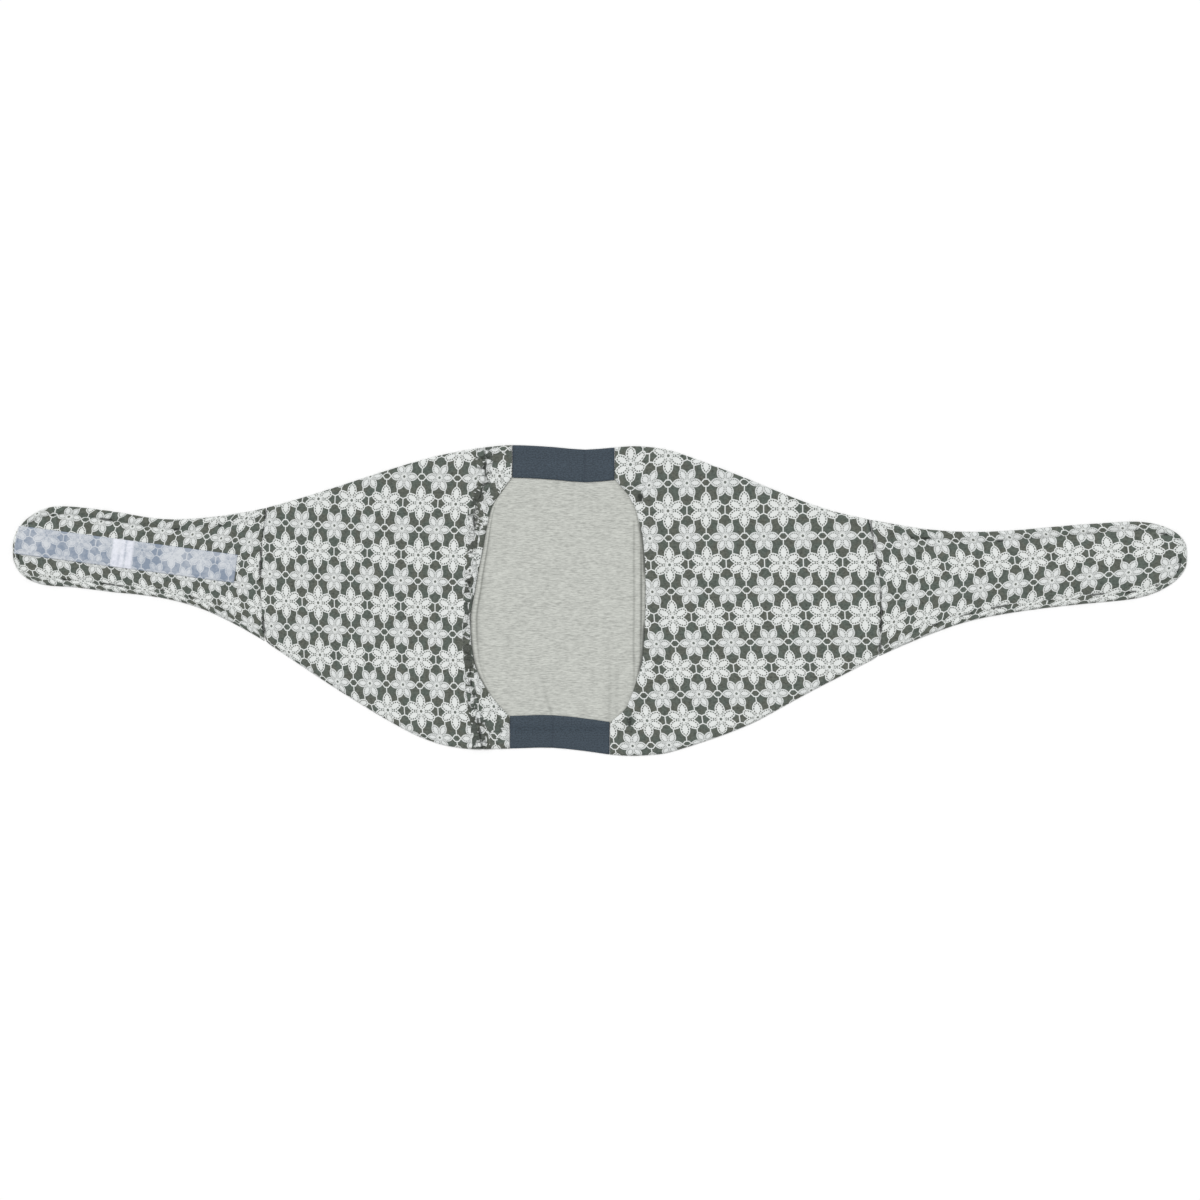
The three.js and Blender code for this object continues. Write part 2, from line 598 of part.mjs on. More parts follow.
// Hook tape on the face of the left tail, cut at its left end to the tail's outline
function hookStrip(carrier) {
  const start = new THREE.Vector2(LEFT_END, centreAt(LEFT_END) + HOOK_OFFSET);
  const tapePoint = tapeLine(start, HOOK_TILT);
  const isOnTail = (point) =>
    isInside(carrier.outline, point) && distanceTo(carrier.outline, point) > HOOK_INSET;
  const cutAt = (offset) =>
    steps(HOOK_WIDTH * 4)
      .map((share) => share * HOOK_WIDTH)
      .find((distance) => isOnTail(tapePoint(distance, offset)));
  const around = steps(HOOK_BEARINGS).map((turn) => 2 * Math.PI * turn);
  const undersideAt = (point) => {
    const heights = around.map((angle) => {
      const away = new THREE.Vector2(Math.cos(angle), Math.sin(angle));
      return carrier.topAt(away.multiplyScalar(HOOK_STIFFNESS).add(point));
    });
    return LAY_GAP + Math.max(carrier.topAt(point), ...heights);
  };
  const lapEdges = [HOOK_LAP.start, HOOK_LAP.start + HOOK_LAP.length];
  const lapColumns = lapEdges.flatMap((edge) => [
    edge - HOOK_THICKNESS / 2,
    edge + HOOK_THICKNESS / 2,
  ]);
  const evenColumns = steps(HOOK_COLUMNS)
    .map((share) => share * (HOOK_LENGTH + HOOK_INSET))
    .filter((distance) => lapEdges.every((edge) => Math.abs(distance - edge) > HOOK_THICKNESS));
  const columns = [...evenColumns, ...lapColumns].sort((a, b) => a - b);
  const rows = steps(HOOK_ROWS).map((share) => (share - 0.5) * HOOK_WIDTH);
  return slab(columns, rows, (distance, offset) => {
    const point = tapePoint(Math.max(distance, cutAt(offset)), offset);
    const bottom = undersideAt(point);
    const rise = distance > lapEdges[0] && distance < lapEdges[1] ? HOOK_LAP.rise : 0;
    return { point, bottom, top: bottom + HOOK_THICKNESS + rise };
  });
}

function loopPatch() {
  return slab([-LOOP_LENGTH, 0], [-LOOP_WIDTH / 2, LOOP_WIDTH / 2], (distance, offset) => ({
    point: loopPoint(distance, offset),
    bottom: 0,
    top: LOOP_THICKNESS,
  }));
}

// Materials, in their colours as seen from a little way off
const cloth = (color, roughness) =>
  new THREE.MeshStandardMaterial({ color, roughness, metalness: 0 });
const printedCloth = cloth("#a4a6a4", 0.9);
const jersey = cloth("#c0c2bc", 0.95);
const elastic = cloth("#46505a", 0.85);
const hookTape = cloth("#b4bac0", 0.55);
const loopTape = cloth("#d6d8da", 0.95);

function piece(name, geometry, material) {
  const mesh = new THREE.Mesh(geometry, material);
  mesh.name = name;
  return mesh;
}

const belt = new THREE.Group();
const hookTail = leftTail();
belt.add(
  piece("left_tail", hookTail.geometry, printedCloth),
  piece("left_panel", leftPanel(), printedCloth),
  piece("right_panel", rightPanel(), printedCloth),
  piece("right_tail", rightTail().geometry, printedCloth),
  piece("belly_panel", bellyPanel(), jersey),
  piece("upper_elastic", elasticBand(topEdge, 1, UPPER_CREASE), elastic),
  piece("lower_elastic", elasticBand(bottomEdge, 0, LOWER_CREASE), elastic),
  piece("hook_strip", hookStrip(hookTail), hookTape),
  piece("loop_patch", loopPatch(), loopTape),
);

export default belt;
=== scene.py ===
import bmesh
import bpy
import numpy as np
from bpy.props import FloatProperty, FloatVectorProperty, PointerProperty
from mathutils.kdtree import KDTree
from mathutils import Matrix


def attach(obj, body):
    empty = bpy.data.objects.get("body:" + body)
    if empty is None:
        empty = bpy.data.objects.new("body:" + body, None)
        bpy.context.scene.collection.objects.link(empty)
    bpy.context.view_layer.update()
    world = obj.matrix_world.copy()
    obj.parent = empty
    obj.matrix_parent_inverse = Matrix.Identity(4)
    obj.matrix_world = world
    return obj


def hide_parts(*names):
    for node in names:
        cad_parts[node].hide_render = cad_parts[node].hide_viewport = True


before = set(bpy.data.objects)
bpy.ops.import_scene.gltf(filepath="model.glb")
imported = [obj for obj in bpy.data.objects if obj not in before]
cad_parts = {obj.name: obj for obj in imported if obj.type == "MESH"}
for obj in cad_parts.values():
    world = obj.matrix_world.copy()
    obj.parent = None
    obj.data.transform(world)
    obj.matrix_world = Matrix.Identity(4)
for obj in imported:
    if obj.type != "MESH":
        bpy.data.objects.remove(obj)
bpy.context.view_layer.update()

bl_info = {
    "name": "Support belt cloth",
    "version": (1, 0, 0),
    "blender": (4, 5, 0),
    "location": "3D View > Sidebar > Belt",
    "description": "Dresses the solids of a maternity support belt in sewn cloth",
    "category": "Add Mesh",
}

MM = 0.001

# Thicknesses, in millimetres
WING = 2.2
ELASTIC = 1.3
JERSEY = 1.5
HOOK = 0.8
LOOP = 1.0
LAY_GAP = 0.3  # between a piece and what it lies on
DRAPE = 9.0  # how far the cloth takes to come down off an edge below it
JERSEY_TUCK = 10.0  # jersey hidden under the wings' edges
BORDER_STEP = 0.8  # between the points of a line along an edge

# Where the hook tape's two lengths overlap, from its outer end, and how much that adds
HOOK_LAP = (90.0, 108.0)
HOOK_LAP_RISE = 0.45
HOOK_MARGIN = 1.4  # between the tape's end and the tail's rounded edge

# Where each band is creased, as a share of its length
BAND_CREASE = {"upper_elastic": 0.71, "lower_elastic": 0.43}

# Height of a hemmed edge by its distance from the fold, in millimetres
HEM = [
    (0.0, 0.9),
    (0.5, 1.6),
    (1.4, 2.4),
    (3.0, 2.95),
    (4.6, 2.95),
    (6.2, 2.65),
    (7.6, 1.95),
    (8.6, 1.3),
    (9.6, 1.5),
    (11.5, 2.0),
    (14.5, 2.2),
]
HEM_STITCH = 8.6  # where that profile has its stitched groove

# Height of a plain folded edge
FOLD = [(0.0, 0.9), (0.5, 1.55), (1.4, 2.05), (3.0, 2.35), (6.0, 2.3), (10.0, 2.2)]

# The gathering stitches beside the window's left edge, from top to bottom, and half the
# width of the crumpled band
GATHERS = [
    {"y": 141, "x": -108, "reach": 9.0},
    {"y": 111, "x": -105, "reach": 7.0},
    {"y": 83, "x": -116, "reach": 5.5},
    {"y": 37, "x": -117, "reach": 5.0},
    {"y": 0, "x": -121, "reach": 4.2},
    {"y": -36, "x": -122, "reach": 3.8},
    {"y": -82, "x": -118, "reach": 5.0},
    {"y": -110, "x": -113, "reach": 7.0},
    {"y": -133, "x": -109, "reach": 9.5},
]
GATHER_PITCH = 8.2

# Small tucks in the right wing beside the window's corners
TUCKS = ({"x": 37.0, "y": 95.0}, {"x": 27.0, "y": -111.0})
TUCK_REACH = 3.2
TUCK_DEPTH = 1.1

# The cloth's puckers beside the seams that join wings to tails: where their noise starts
SEAM_SEEDS = {"left": 21, "right": 31}
SEAM_HEM = 0.25  # how much of the tail's stitched hem there is where it meets the seam

# How the window's sides are eased along the belt when the wings are laid: place across, shift
LEFT_EASING = ((-15, 0), (10, 2.4), (50, 2.2), (85, 0.6), (100, 1.5), (115, 0))
RIGHT_EASING = ((-112, 0), (-85, -2.4), (-56, 1.4), (38, 2.0), (82, 3.0), (98, 3.2), (112, 0))

# Folds along the jersey's sides at its widest. inset: millimetres from the wing's edge.
# rise: above the flat jersey.
LEFT_FOLDS = [
    (0.0, 0.0),
    (1.0, 0.15),
    (2.6, 1.0),
    (4.4, 0.95),
    (5.3, 0.35),
    (5.9, -0.45),
    (6.6, -0.1),
    (8.5, 0.2),
    (14.0, 0.0),
    (18.0, 0.0),
]
RIGHT_FOLDS = [
    (0.0, 0.1),
    (0.6, 0.35),
    (1.6, 0.6),
    (2.7, 0.4),
    (3.7, -0.5),
    (4.7, 0.5),
    (6.0, 0.95),
    (8.2, 0.95),
    (9.6, 0.35),
    (10.5, -0.3),
    (11.5, 0.0),
    (14.0, 0.15),
    (18.0, 0.0),
]

# The print's repeat on each piece: cells counted along and across the belt from a middle point.
# Terms: steady, by x, by y, by x squared, by x times y, by y squared.
PRINT = {
    "left_tail": {
        "middle": (-417.7, 38.3),
        "along": (3.14, 0.0357, -0.0023, 1.4e-5, -6e-5, -1.8e-4),
        "across": (-0.192, 0.00376, 0.0256, -3e-6, -1.5e-5, -4e-5),
    },
    "left_panel": {
        "middle": (-204.0, 2.9),
        "along": (2.83, 0.0325, 0.00026, -1.1e-5, -7.5e-6, -9.3e-6),
        "across": (-1.84, 0.00087, 0.0209, -2.2e-6, 0.0, 0.0),
    },
    "right_panel": {
        "middle": (141.5, -3.8),
        "along": (2.17, 0.0284, 0.00176, -4.7e-6, -3.4e-6, -9.9e-6),
        "across": (-1.78, -0.0003, 0.0207, 1.2e-6, 0.0, -4.5e-6),
    },
    "right_tail": {
        "middle": (368.9, 17.7),
        "along": (3.09, 0.0309, -0.0006, -1.3e-5, -3.3e-5, 1.3e-4),
        "across": (-0.405, -0.0023, 0.0226, -1.4e-6, 1.4e-5, -1e-5),
    },
}
CELL = (38.6, 52.4)

# The print's petals in a quarter of each flower, in the cell's units. turn (degrees), root, tip,
# half width, radius of a blunt tip.
LARGE_FLOWER = ((90, 2.2, 18.0, 5.2, 0.0), (27, 2.2, 16.9, 4.9, 4.3))
SMALL_FLOWER = ((0, 2.0, 14.8, 4.2, 0.0), (62, 2.0, 15.0, 4.3, 0.0))
THREAD = 0.56  # half a thread's width
BEADS = 6.0  # stitches along each side of a petal
BEAD_INSET = 1.65
BEAD_SPREAD = 0.89
BEAD_SIZE = 0.74

# How far the print's edges fade, on the cloth and through the tape
PRINT_FADE = 0.3
TAPE_FADE = 0.6

# How far the print is out of step beyond the gathers, and in the right wing's upper corner,
# in cells
CORNER_SHIFT = {"upper": (-0.18, 0.42), "lower": (-0.1, -0.1), "right": (0.0, 0.14)}

# Each piece: its slot, what it lies on, the faces along and across its mesh, and its flat size
# where that isn't its solid's. filled: its area as a share of its outline's.
PIECES = {
    "hook_strip": dict(slot="hook_tape", on="left_tail", faces=(205, 30), flat=(205, 26)),
    "loop_patch": dict(slot="loop_tape", on="floor", faces=(120, 24), flat=(190, 34)),
    "left_tail": dict(slot="printed_cloth", on="floor", faces=(240, 78)),
    "right_tail": dict(slot="printed_cloth", on="loop_patch", faces=(240, 78)),
    "belly_panel": dict(
        slot="jersey", on="floor", faces=(190, 150), flat=(179, 233), filled=0.9
    ),
    "upper_elastic": dict(slot="elastic", on="belly_panel", faces=(96, 30), flat=(93, 31)),
    "lower_elastic": dict(slot="elastic", on="belly_panel", faces=(96, 30), flat=(93, 31)),
    "left_panel": dict(slot="printed_cloth", on="belly_panel", faces=(160, 230), filled=0.96),
    "right_panel": dict(slot="printed_cloth", on="belly_panel", faces=(130, 180), filled=0.96),
}

# The stage: metres and radians, and the camera's sensor in millimetres
FLOOR_REACH = 20
FLOOR_WHITE = 0.97
KEY_SPREAD = 0.5
KEY_TURN = (-0.4, -0.2, 0)
SENSOR = 36
CAMERA_SHIFT = 0.0004


# Numbers along lines and over surfaces


def smoothed(values, passes):
    """Evens out a row of numbers and keeps its ends."""
    for _ in range(passes):
        low, high = 2 * values[0] - values[1], 2 * values[-1] - values[-2]
        wide = np.concatenate([[low], values, [high]])
        values = (wide[:-2] + 2 * wide[1:-1] + wide[2:]) / 4
    return values


def profile(table, step=0.1, passes=12):
    """A smooth curve through a table of pairs."""
    places, heights = np.array(table).T
    fine = np.arange(places[0], places[-1] + step, step)
    even = smoothed(np.interp(fine, places, heights), passes)
    return lambda place: np.interp(place, fine, even)


def bumps(x, y, size, seed):
    """Smooth noise from -1 to 1, with features of that size."""
    values = np.random.RandomState(seed).uniform(-1, 1, (97, 97))
    column, row = np.floor(x / size).astype(int), np.floor(y / size).astype(int)
    across, up = x / size - column, y / size - row
    across, up = across * across * (3 - 2 * across), up * up * (3 - 2 * up)

    def at(i, j):
        return values[(column + i) % 97, (row + j) % 97]

    low = at(0, 0) * (1 - across) + at(1, 0) * across
    high = at(0, 1) * (1 - across) + at(1, 1) * across
    return low * (1 - up) + high * up


def waver(y, size, seed):
    """The same noise along a line."""
    return bumps(y, 0 * y, size, seed)


def ramp(value, start, end):
    """Goes smoothly from 0 at start to 1 at end."""
    share = np.clip((value - start) / (end - start), 0, 1)
    return share * share * (3 - 2 * share)


def span(value, start, full, fade, end):
    """Goes smoothly from 0 at start to 1 at full, and from 1 at fade to 0 at end."""
    return ramp(value, start, full) * (1 - ramp(value, fade, end))


def near(value, reach):
    """Goes evenly from 1 at nothing to 0 at reach."""
    return np.clip(1 - value / reach, 0, 1)


def bell(value, width):
    """1 at nothing, fading over that width to either side."""
    return np.exp(-((value / width) ** 2))


# Outlines, read from the solids


def edges_of(*nodes):
    """The two ends of every edge of these nodes, in millimetres."""
    ends = []
    for node in nodes:
        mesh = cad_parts[node].data
        points = np.empty(len(mesh.vertices) * 3)
        mesh.vertices.foreach_get("co", points)
        pairs = np.empty(len(mesh.edges) * 2, int)
        mesh.edges.foreach_get("vertices", pairs)
        ends.append(points.reshape(-1, 3)[pairs.reshape(-1, 2)] / MM)
    return np.concatenate(ends)


def cut(edges, axis, value):
    """The lowest and highest place where a cut at that value of the axis meets the edges."""
    start, end = edges[:, 0], edges[:, 1]
    met = (start[:, axis] - value) * (end[:, axis] - value) <= 0
    start, end = start[met], end[met]
    run = end[:, axis] - start[:, axis]
    share = (value - start[:, axis]) / np.where(run == 0, 1, run)
    share = np.where(np.abs(run) > 1e-6, share, 0.5)
    other = start[:, 1 - axis] + share * (end[:, 1 - axis] - start[:, 1 - axis])
    return other.min(), other.max()


def line_of(edges, axis, places, side, passes):
    """A smooth line along one side of the cuts. side is 0 for the lowest, 1 for the highest."""
    values = np.array([cut(edges, axis, place)[side] for place in places])
    wide = np.pad(values, 2, mode="edge")
    steady = np.median(np.stack([wide[i : i + len(values)] for i in range(5)]), axis=0)
    even = smoothed(steady, passes)
    return lambda place: np.interp(place, places, even)


class Outline:
    """The belt's lower and upper edge, as a height across the belt for each place along it."""

    def __init__(self):
        edges = edges_of(*[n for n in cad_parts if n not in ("hook_strip", "loop_patch")])
        self.start, self.end = edges[:, :, 0].min(), edges[:, :, 0].max()
        roots = np.linspace(0.12, np.sqrt(-self.start), 520)
        left = self.start + roots**2
        right = self.end - np.linspace(np.sqrt(self.end), 0.12, 520) ** 2
        self.places = np.concatenate([left[:-1], right])
        self.lower = line_of(edges, 0, self.places, 0, 22)
        self.upper = line_of(edges, 0, self.places, 1, 22)

    def loop(self):
        """The whole outline, anticlockwise, in even steps."""
        low = np.stack([self.places, self.lower(self.places)], 1)
        high = np.stack([self.places, self.upper(self.places)], 1)[::-1]
        points = np.concatenate([low, high, low[:1]])
        length = np.concatenate([[0], np.cumsum(np.hypot(*np.diff(points, axis=0).T))])
        even = np.arange(0, length[-1], BORDER_STEP)
        return np.stack([np.interp(even, length, points[:, k]) for k in (0, 1)], 1)


class Border:
    """A line along a piece's edge. It tells how far inside it a point is, and where along it."""

    def __init__(self, points):
        self.points = points
        step = np.gradient(points, axis=0)
        step = np.stack([smoothed(step[:, k], 6) for k in (0, 1)], 1)
        self.forward = step / np.hypot(*step.T)[:, None]
        self.outward = np.stack([self.forward[:, 1], -self.forward[:, 0]], 1)
        lengths = np.hypot(*np.diff(points, axis=0).T)
        self.along = np.concatenate([[0], np.cumsum(lengths)])
        self.tree = KDTree(len(points))
        for index, (x, y) in enumerate(points):
            self.tree.insert((x, y, 0), index)
        self.tree.balance()

    def measure(self, x, y):
        nearest = [self.tree.find((px, py, 0))[1] for px, py in zip(x, y)]
        gap = np.stack([x, y], 1) - self.points[nearest]
        inset = np.maximum(0, -(gap * self.outward[nearest]).sum(1))
        along = self.along[nearest] + (gap * self.forward[nearest]).sum(1)
        return inset, along, self.outward[nearest]


outline = Outline()
hem_border = Border(outline.loop())
hem_profile, fold_profile = profile(HEM), profile(FOLD)


def seam_line(node, side):
    """Where a piece ends along the belt, for each place across it."""
    edges = edges_of(node)
    end = (edges[:, :, 0].min(), edges[:, :, 0].max())[side]
    inner = np.clip(end, outline.start + 1, outline.end - 1) + (12 if side == 0 else -12)
    places = np.arange(outline.lower(inner) + 1.5, outline.upper(inner) - 1.5, 1.0)
    return line_of(edges, 1, places, side, 6)


def eased(line, easing):
    """A line moved along the belt by amounts given as places across it and shifts."""
    places, shifts = zip(*easing)
    return lambda y: line(y) + np.interp(y, places, shifts)


window_left = eased(seam_line("left_panel", 1), LEFT_EASING)
window_right = eased(seam_line("right_panel", 0), RIGHT_EASING)
upper_band, lower_band = edges_of("upper_elastic"), edges_of("lower_elastic")
WINDOW_START = upper_band[:, :, 0].min()
WINDOW_END = upper_band[:, :, 0].max()


def along_line(edges, side, inset, passes):
    """The lower or upper side of a piece, for each place along the belt."""
    start, end = edges[:, :, 0].min() + inset, edges[:, :, 0].max() - inset
    return line_of(edges, 0, np.linspace(start, end, 90), side, passes)


window_top = along_line(upper_band, 0, 1, 6)
window_foot = along_line(lower_band, 1, 1, 6)
jersey_edges = edges_of("belly_panel")
jersey_foot = along_line(jersey_edges, 0, 50, 6)
jersey_top = along_line(jersey_edges, 1, 50, 6)


def outside_patch(x, y):
    """How far a point is outside the loop patch."""
    points = edges_of("loop_patch").reshape(-1, 3)[:, :2]
    lowest, leftmost = points.argmin(0)[::-1]
    highest, rightmost = points.argmax(0)[::-1]
    corners = points[[lowest, rightmost, highest, leftmost]]
    sides = []
    for corner, run in zip(corners, np.roll(corners, -1, axis=0) - corners):
        sides.append(((x - corner[0]) * run[1] - (y - corner[1]) * run[0]) / np.hypot(*run))
    across = np.maximum(np.maximum(sides[0], sides[2]), 0)
    along = np.maximum(np.maximum(sides[1], sides[3]), 0)
    return np.hypot(across, along)


def outside_jersey(x, y):
    """How far a point is outside the jersey's hidden edges."""
    across = np.maximum(window_left(y) - JERSEY_TUCK - x, x - window_right(y) - JERSEY_TUCK)
    up = np.maximum(jersey_foot(x) - y, y - jersey_top(x))
    return np.hypot(np.maximum(across, 0), np.maximum(up, 0))


def lift(x, y):
    """How far the cloth is held off the surface by what lies under it."""
    over_jersey = (JERSEY + LAY_GAP) * (1 - ramp(outside_jersey(x, y), 0, DRAPE))
    over_patch = (LOOP + LAY_GAP) * (1 - ramp(outside_patch(x, y), 0, DRAPE))
    return np.maximum(over_jersey, over_patch)


# Meshes


def placed(name, data):
    """A new object in the scene."""
    thing = bpy.data.objects.new(name, data)
    bpy.context.scene.collection.objects.link(thing)
    return thing


def slab(name, shape):
    """A closed sheet with a face and a back.
    shape(across, up) takes shares from 0 to 1 as arrays and gives x, y, top and bottom in
    millimetres, the print's coordinates, and the marks that the materials read, by name."""
    columns, rows = PIECES[name]["faces"]
    across, up = np.meshgrid(np.linspace(0, 1, columns + 1), np.linspace(0, 1, rows + 1))
    x, y, top, bottom, printed, marks = shape(across.ravel(), up.ravel())

    bm = bmesh.new()
    bmesh.ops.create_grid(bm, x_segments=columns, y_segments=rows, size=0.5)
    place = bm.verts.layers.int.new("place")
    for vert in bm.verts:
        column = round((vert.co.x + 0.5) * columns)
        row = round((vert.co.y + 0.5) * rows)
        vert[place] = row * (columns + 1) + column
    back = bmesh.ops.extrude_face_region(bm, geom=bm.faces[:])["geom"]
    backs = {g for g in back if isinstance(g, bmesh.types.BMVert)}
    for face in bm.faces:
        face.material_index = 1 if all(v in backs for v in face.verts) else 0
    for vert in bm.verts:
        at = vert[place]
        vert.co = (x[at] * MM, y[at] * MM, (bottom if vert in backs else top)[at] * MM)
    bmesh.ops.recalc_face_normals(bm, faces=bm.faces[:])
    open_edges = sum(1 for e in bm.edges if not e.is_manifold)
    if open_edges:
        raise RuntimeError(f"{name} has {open_edges} open edges")

    mesh = bpy.data.meshes.new(name)
    bm.to_mesh(mesh)
    bm.free()
    mesh.shade_smooth()
    where = np.empty(len(mesh.vertices), np.int32)
    mesh.attributes["place"].data.foreach_get("value", where)
    corners = np.empty(len(mesh.loops), np.int32)
    mesh.loops.foreach_get("vertex_index", corners)
    coords = mesh.uv_layers.new(name="Print")
    coords.uv.foreach_set("vector", printed[where[corners]].astype(np.float32).ravel())
    for mark, values in marks.items():
        layer = mesh.attributes.new(mark, "FLOAT", "POINT")
        layer.data.foreach_set("value", values[where].astype(np.float32))
    mesh.attributes.remove(mesh.attributes["place"])
    return placed(name, mesh)


def outline_area(start, end):
    """The belt's area between two places along it."""
    places = np.linspace(start, end, 400)
    widths = outline.upper(places) - outline.lower(places)
    return float(((widths[1:] + widths[:-1]) / 2 * np.diff(places)).sum())


def dress(piece, node, face, back):
    piece.data.materials.append(face)
    piece.data.materials.append(back)
    facts = PIECES[node]
    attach(piece, "root")
    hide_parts(node)

    if "flat" in facts:
        length, width = facts["flat"]
        area = length * width
    else:
        edges = edges_of(node)
        low, high = edges[:, :, :2].min((0, 1)), edges[:, :, :2].max((0, 1))
        length, width = high - low
        area = outline_area(low[0], high[0])


def spaced_rows(up, width, band=15.0, share=0.24):
    """Turns an even share up a piece into millimetres, with closer rows beside both edges."""
    edge = np.minimum(band, 0.36 * width)
    low = edge * (np.clip(up / share, 0, 1)) ** 1.35
    high = edge * (np.clip((1 - up) / share, 0, 1)) ** 1.35
    middle = edge + (width - 2 * edge) * (up - share) / (1 - 2 * share)
    return np.where(up < share, low, np.where(up > 1 - share, width - high, middle))


def wing_points(across, up, start, end):
    """Places between two lines across the belt and its lower and upper edges."""
    y = np.zeros_like(across)
    for _ in range(30):
        x = start(y) + across * (end(y) - start(y))
        low, high = outline.lower(x), outline.upper(x)
        y = low + spaced_rows(up, high - low)
    return x, y


def print_coords(node, x, y):
    """The print's own coordinates at a place on that piece."""
    repeat = PRINT[node]
    dx, dy = x - repeat["middle"][0], y - repeat["middle"][1]
    terms = np.stack([np.ones_like(dx), dx, dy, dx * dx, dx * dy, dy * dy], 1)
    return np.stack([terms @ np.array(repeat["along"]), terms @ np.array(repeat["across"])], 1)


def hemmed(x, y, hem):
    """Height of the cloth above what is under it, its underside's rounding, the painted shade in
    its creases and along its edge, and how far the print is drawn over the edge. hem is 1 for a
    stitched hem and 0 for a plain fold."""
    inset, along, outward = hem_border.measure(x, y)
    tip = np.minimum(x - outline.start, outline.end - x)
    stitch = HEM_STITCH - 3.2 * (1 - ramp(tip, 12, 45)) + 0.8 * waver(along, 23, 5)
    stitch -= 1.6 * ramp(-outward[:, 1], 0.2, 0.8)
    reach = inset * HEM_STITCH / stitch
    height = hem * hem_profile(reach) + (1 - hem) * fold_profile(inset)
    lumps = 0.4 * bumps(along, inset, 8, 1) * bell(reach - 4.2, 3.2)
    pucker = waver(along, 3.6, 2) + 0.7 * waver(along, 8.5, 3)
    drag = bumps(along + 0.7 * inset, 0.25 * inset, 5.2, 4)
    height += hem * (lumps - 0.15 + 0.4 * pucker * bell(reach - HEM_STITCH, 2.4))
    height += (0.2 + 0.8 * hem) * 0.55 * drag * bell(reach - 11.5, 6.5) * ramp(reach, 2.5, 6)
    # painted shade: dark dashes in the hem's stitched groove, in the dragged folds and along the
    # edge
    dash = np.clip(0.16 + 1.2 * waver(along, 8, 8) + 0.6 * pucker, 0.08, 0.85)
    crease = hem * bell(reach - HEM_STITCH, 0.8 + 0.9 * dash) * dash
    dragged = 0.8 * bell(reach - 6.4, 1.2) * np.clip(1.6 * drag - 0.6, 0, 1)
    crease = np.maximum(crease, hem * dragged)
    crease = np.maximum(crease, (0.1 + 0.15 * hem) * near(inset, 1.5))
    under = 0.6 * near(inset, 1.6) ** 2
    lower = ramp(-outward[:, 1], -0.3, 0.6)
    pulled = near(inset, 4.5 + 3 * lower) ** 2
    pulled *= 2.0 + 2.4 * lower * (0.4 + 0.6 * hem)
    pulled += hem * 1.4 * (1 - ramp(reach, 7.8, 9.4))
    loose = hem * bell(reach - 8.0, 4.0)
    drawn = outward * (pulled + 0.9 * loose * bumps(along, inset, 6, 6))[:, None]
    forward = np.stack([-outward[:, 1], outward[:, 0]], 1)
    drawn += forward * (1.2 * loose * bumps(along, inset, 7, 7))[:, None]
    return height, under, crease, drawn


def seam_dip(height, crease, gap, y, seed):
    """Sinks the cloth beside a sewn seam, with small puckers across it, and paints shade along the
    seam.
    """
    pull = waver(y, 5.5, seed) + 0.5 * waver(y, 2.6, seed + 1)
    height = height - (0.9 + 0.3 * pull) * bell(gap, 2.6)
    height += 0.35 * pull * bell(gap, 8)
    # painted shade in the seam's groove
    crease = np.maximum(crease, bell(gap, 1.5) * np.clip(0.55 + 0.8 * pull, 0.15, 1))
    return height, crease


def body_waves(x, y):
    """Soft unevenness of cloth that lies loose."""
    return 0.22 * bumps(x, y, 34, 11) + 0.12 * bumps(x, y, 15, 12)


def sewn(node, x, y, hem, gap):
    """A wing's cloth with its hem, and its seam at that gap from each point. Gives its height,
    its underside, the painted shade in its creases and seam, and the print's coordinates."""
    height, under, crease, drawn = hemmed(x, y, hem)
    height += body_waves(x, y)
    height, crease = seam_dip(height, crease, gap, y, SEAM_SEEDS[node.split("_")[0]])
    return height, under, crease, print_coords(node, x + drawn[:, 0], y + drawn[:, 1])


def tip_share(across, sharpness=9.0):
    """Closer columns beside a tail's rounded end."""
    return (1 + sharpness) * across**2 / (1 + sharpness * across)


def make_tail(node):
    """A tail: rounded end, stitched hem all round, seam at the panel."""
    left = node == "left_tail"
    seam = seam_line(node, 1 if left else 0)

    def shape(across, up):
        if left:
            x, y = wing_points(tip_share(across), up, lambda y: outline.start + 0 * y, seam)
        else:
            x, y = wing_points(1 - tip_share(1 - across), up, seam, lambda y: outline.end + 0 * y)
        gap = np.abs(x - seam(y))
        hem = SEAM_HEM + (1 - SEAM_HEM) * ramp(gap, 0, 40)
        height, under, crease, printed = sewn(node, x, y, hem, gap)
        raised = lift(x, y)
        marks = {"crease": crease, "hidden": 0 * x, "crumple": 0 * x}
        return x, y, raised + height, raised + under, printed, marks

    return slab(node, shape)


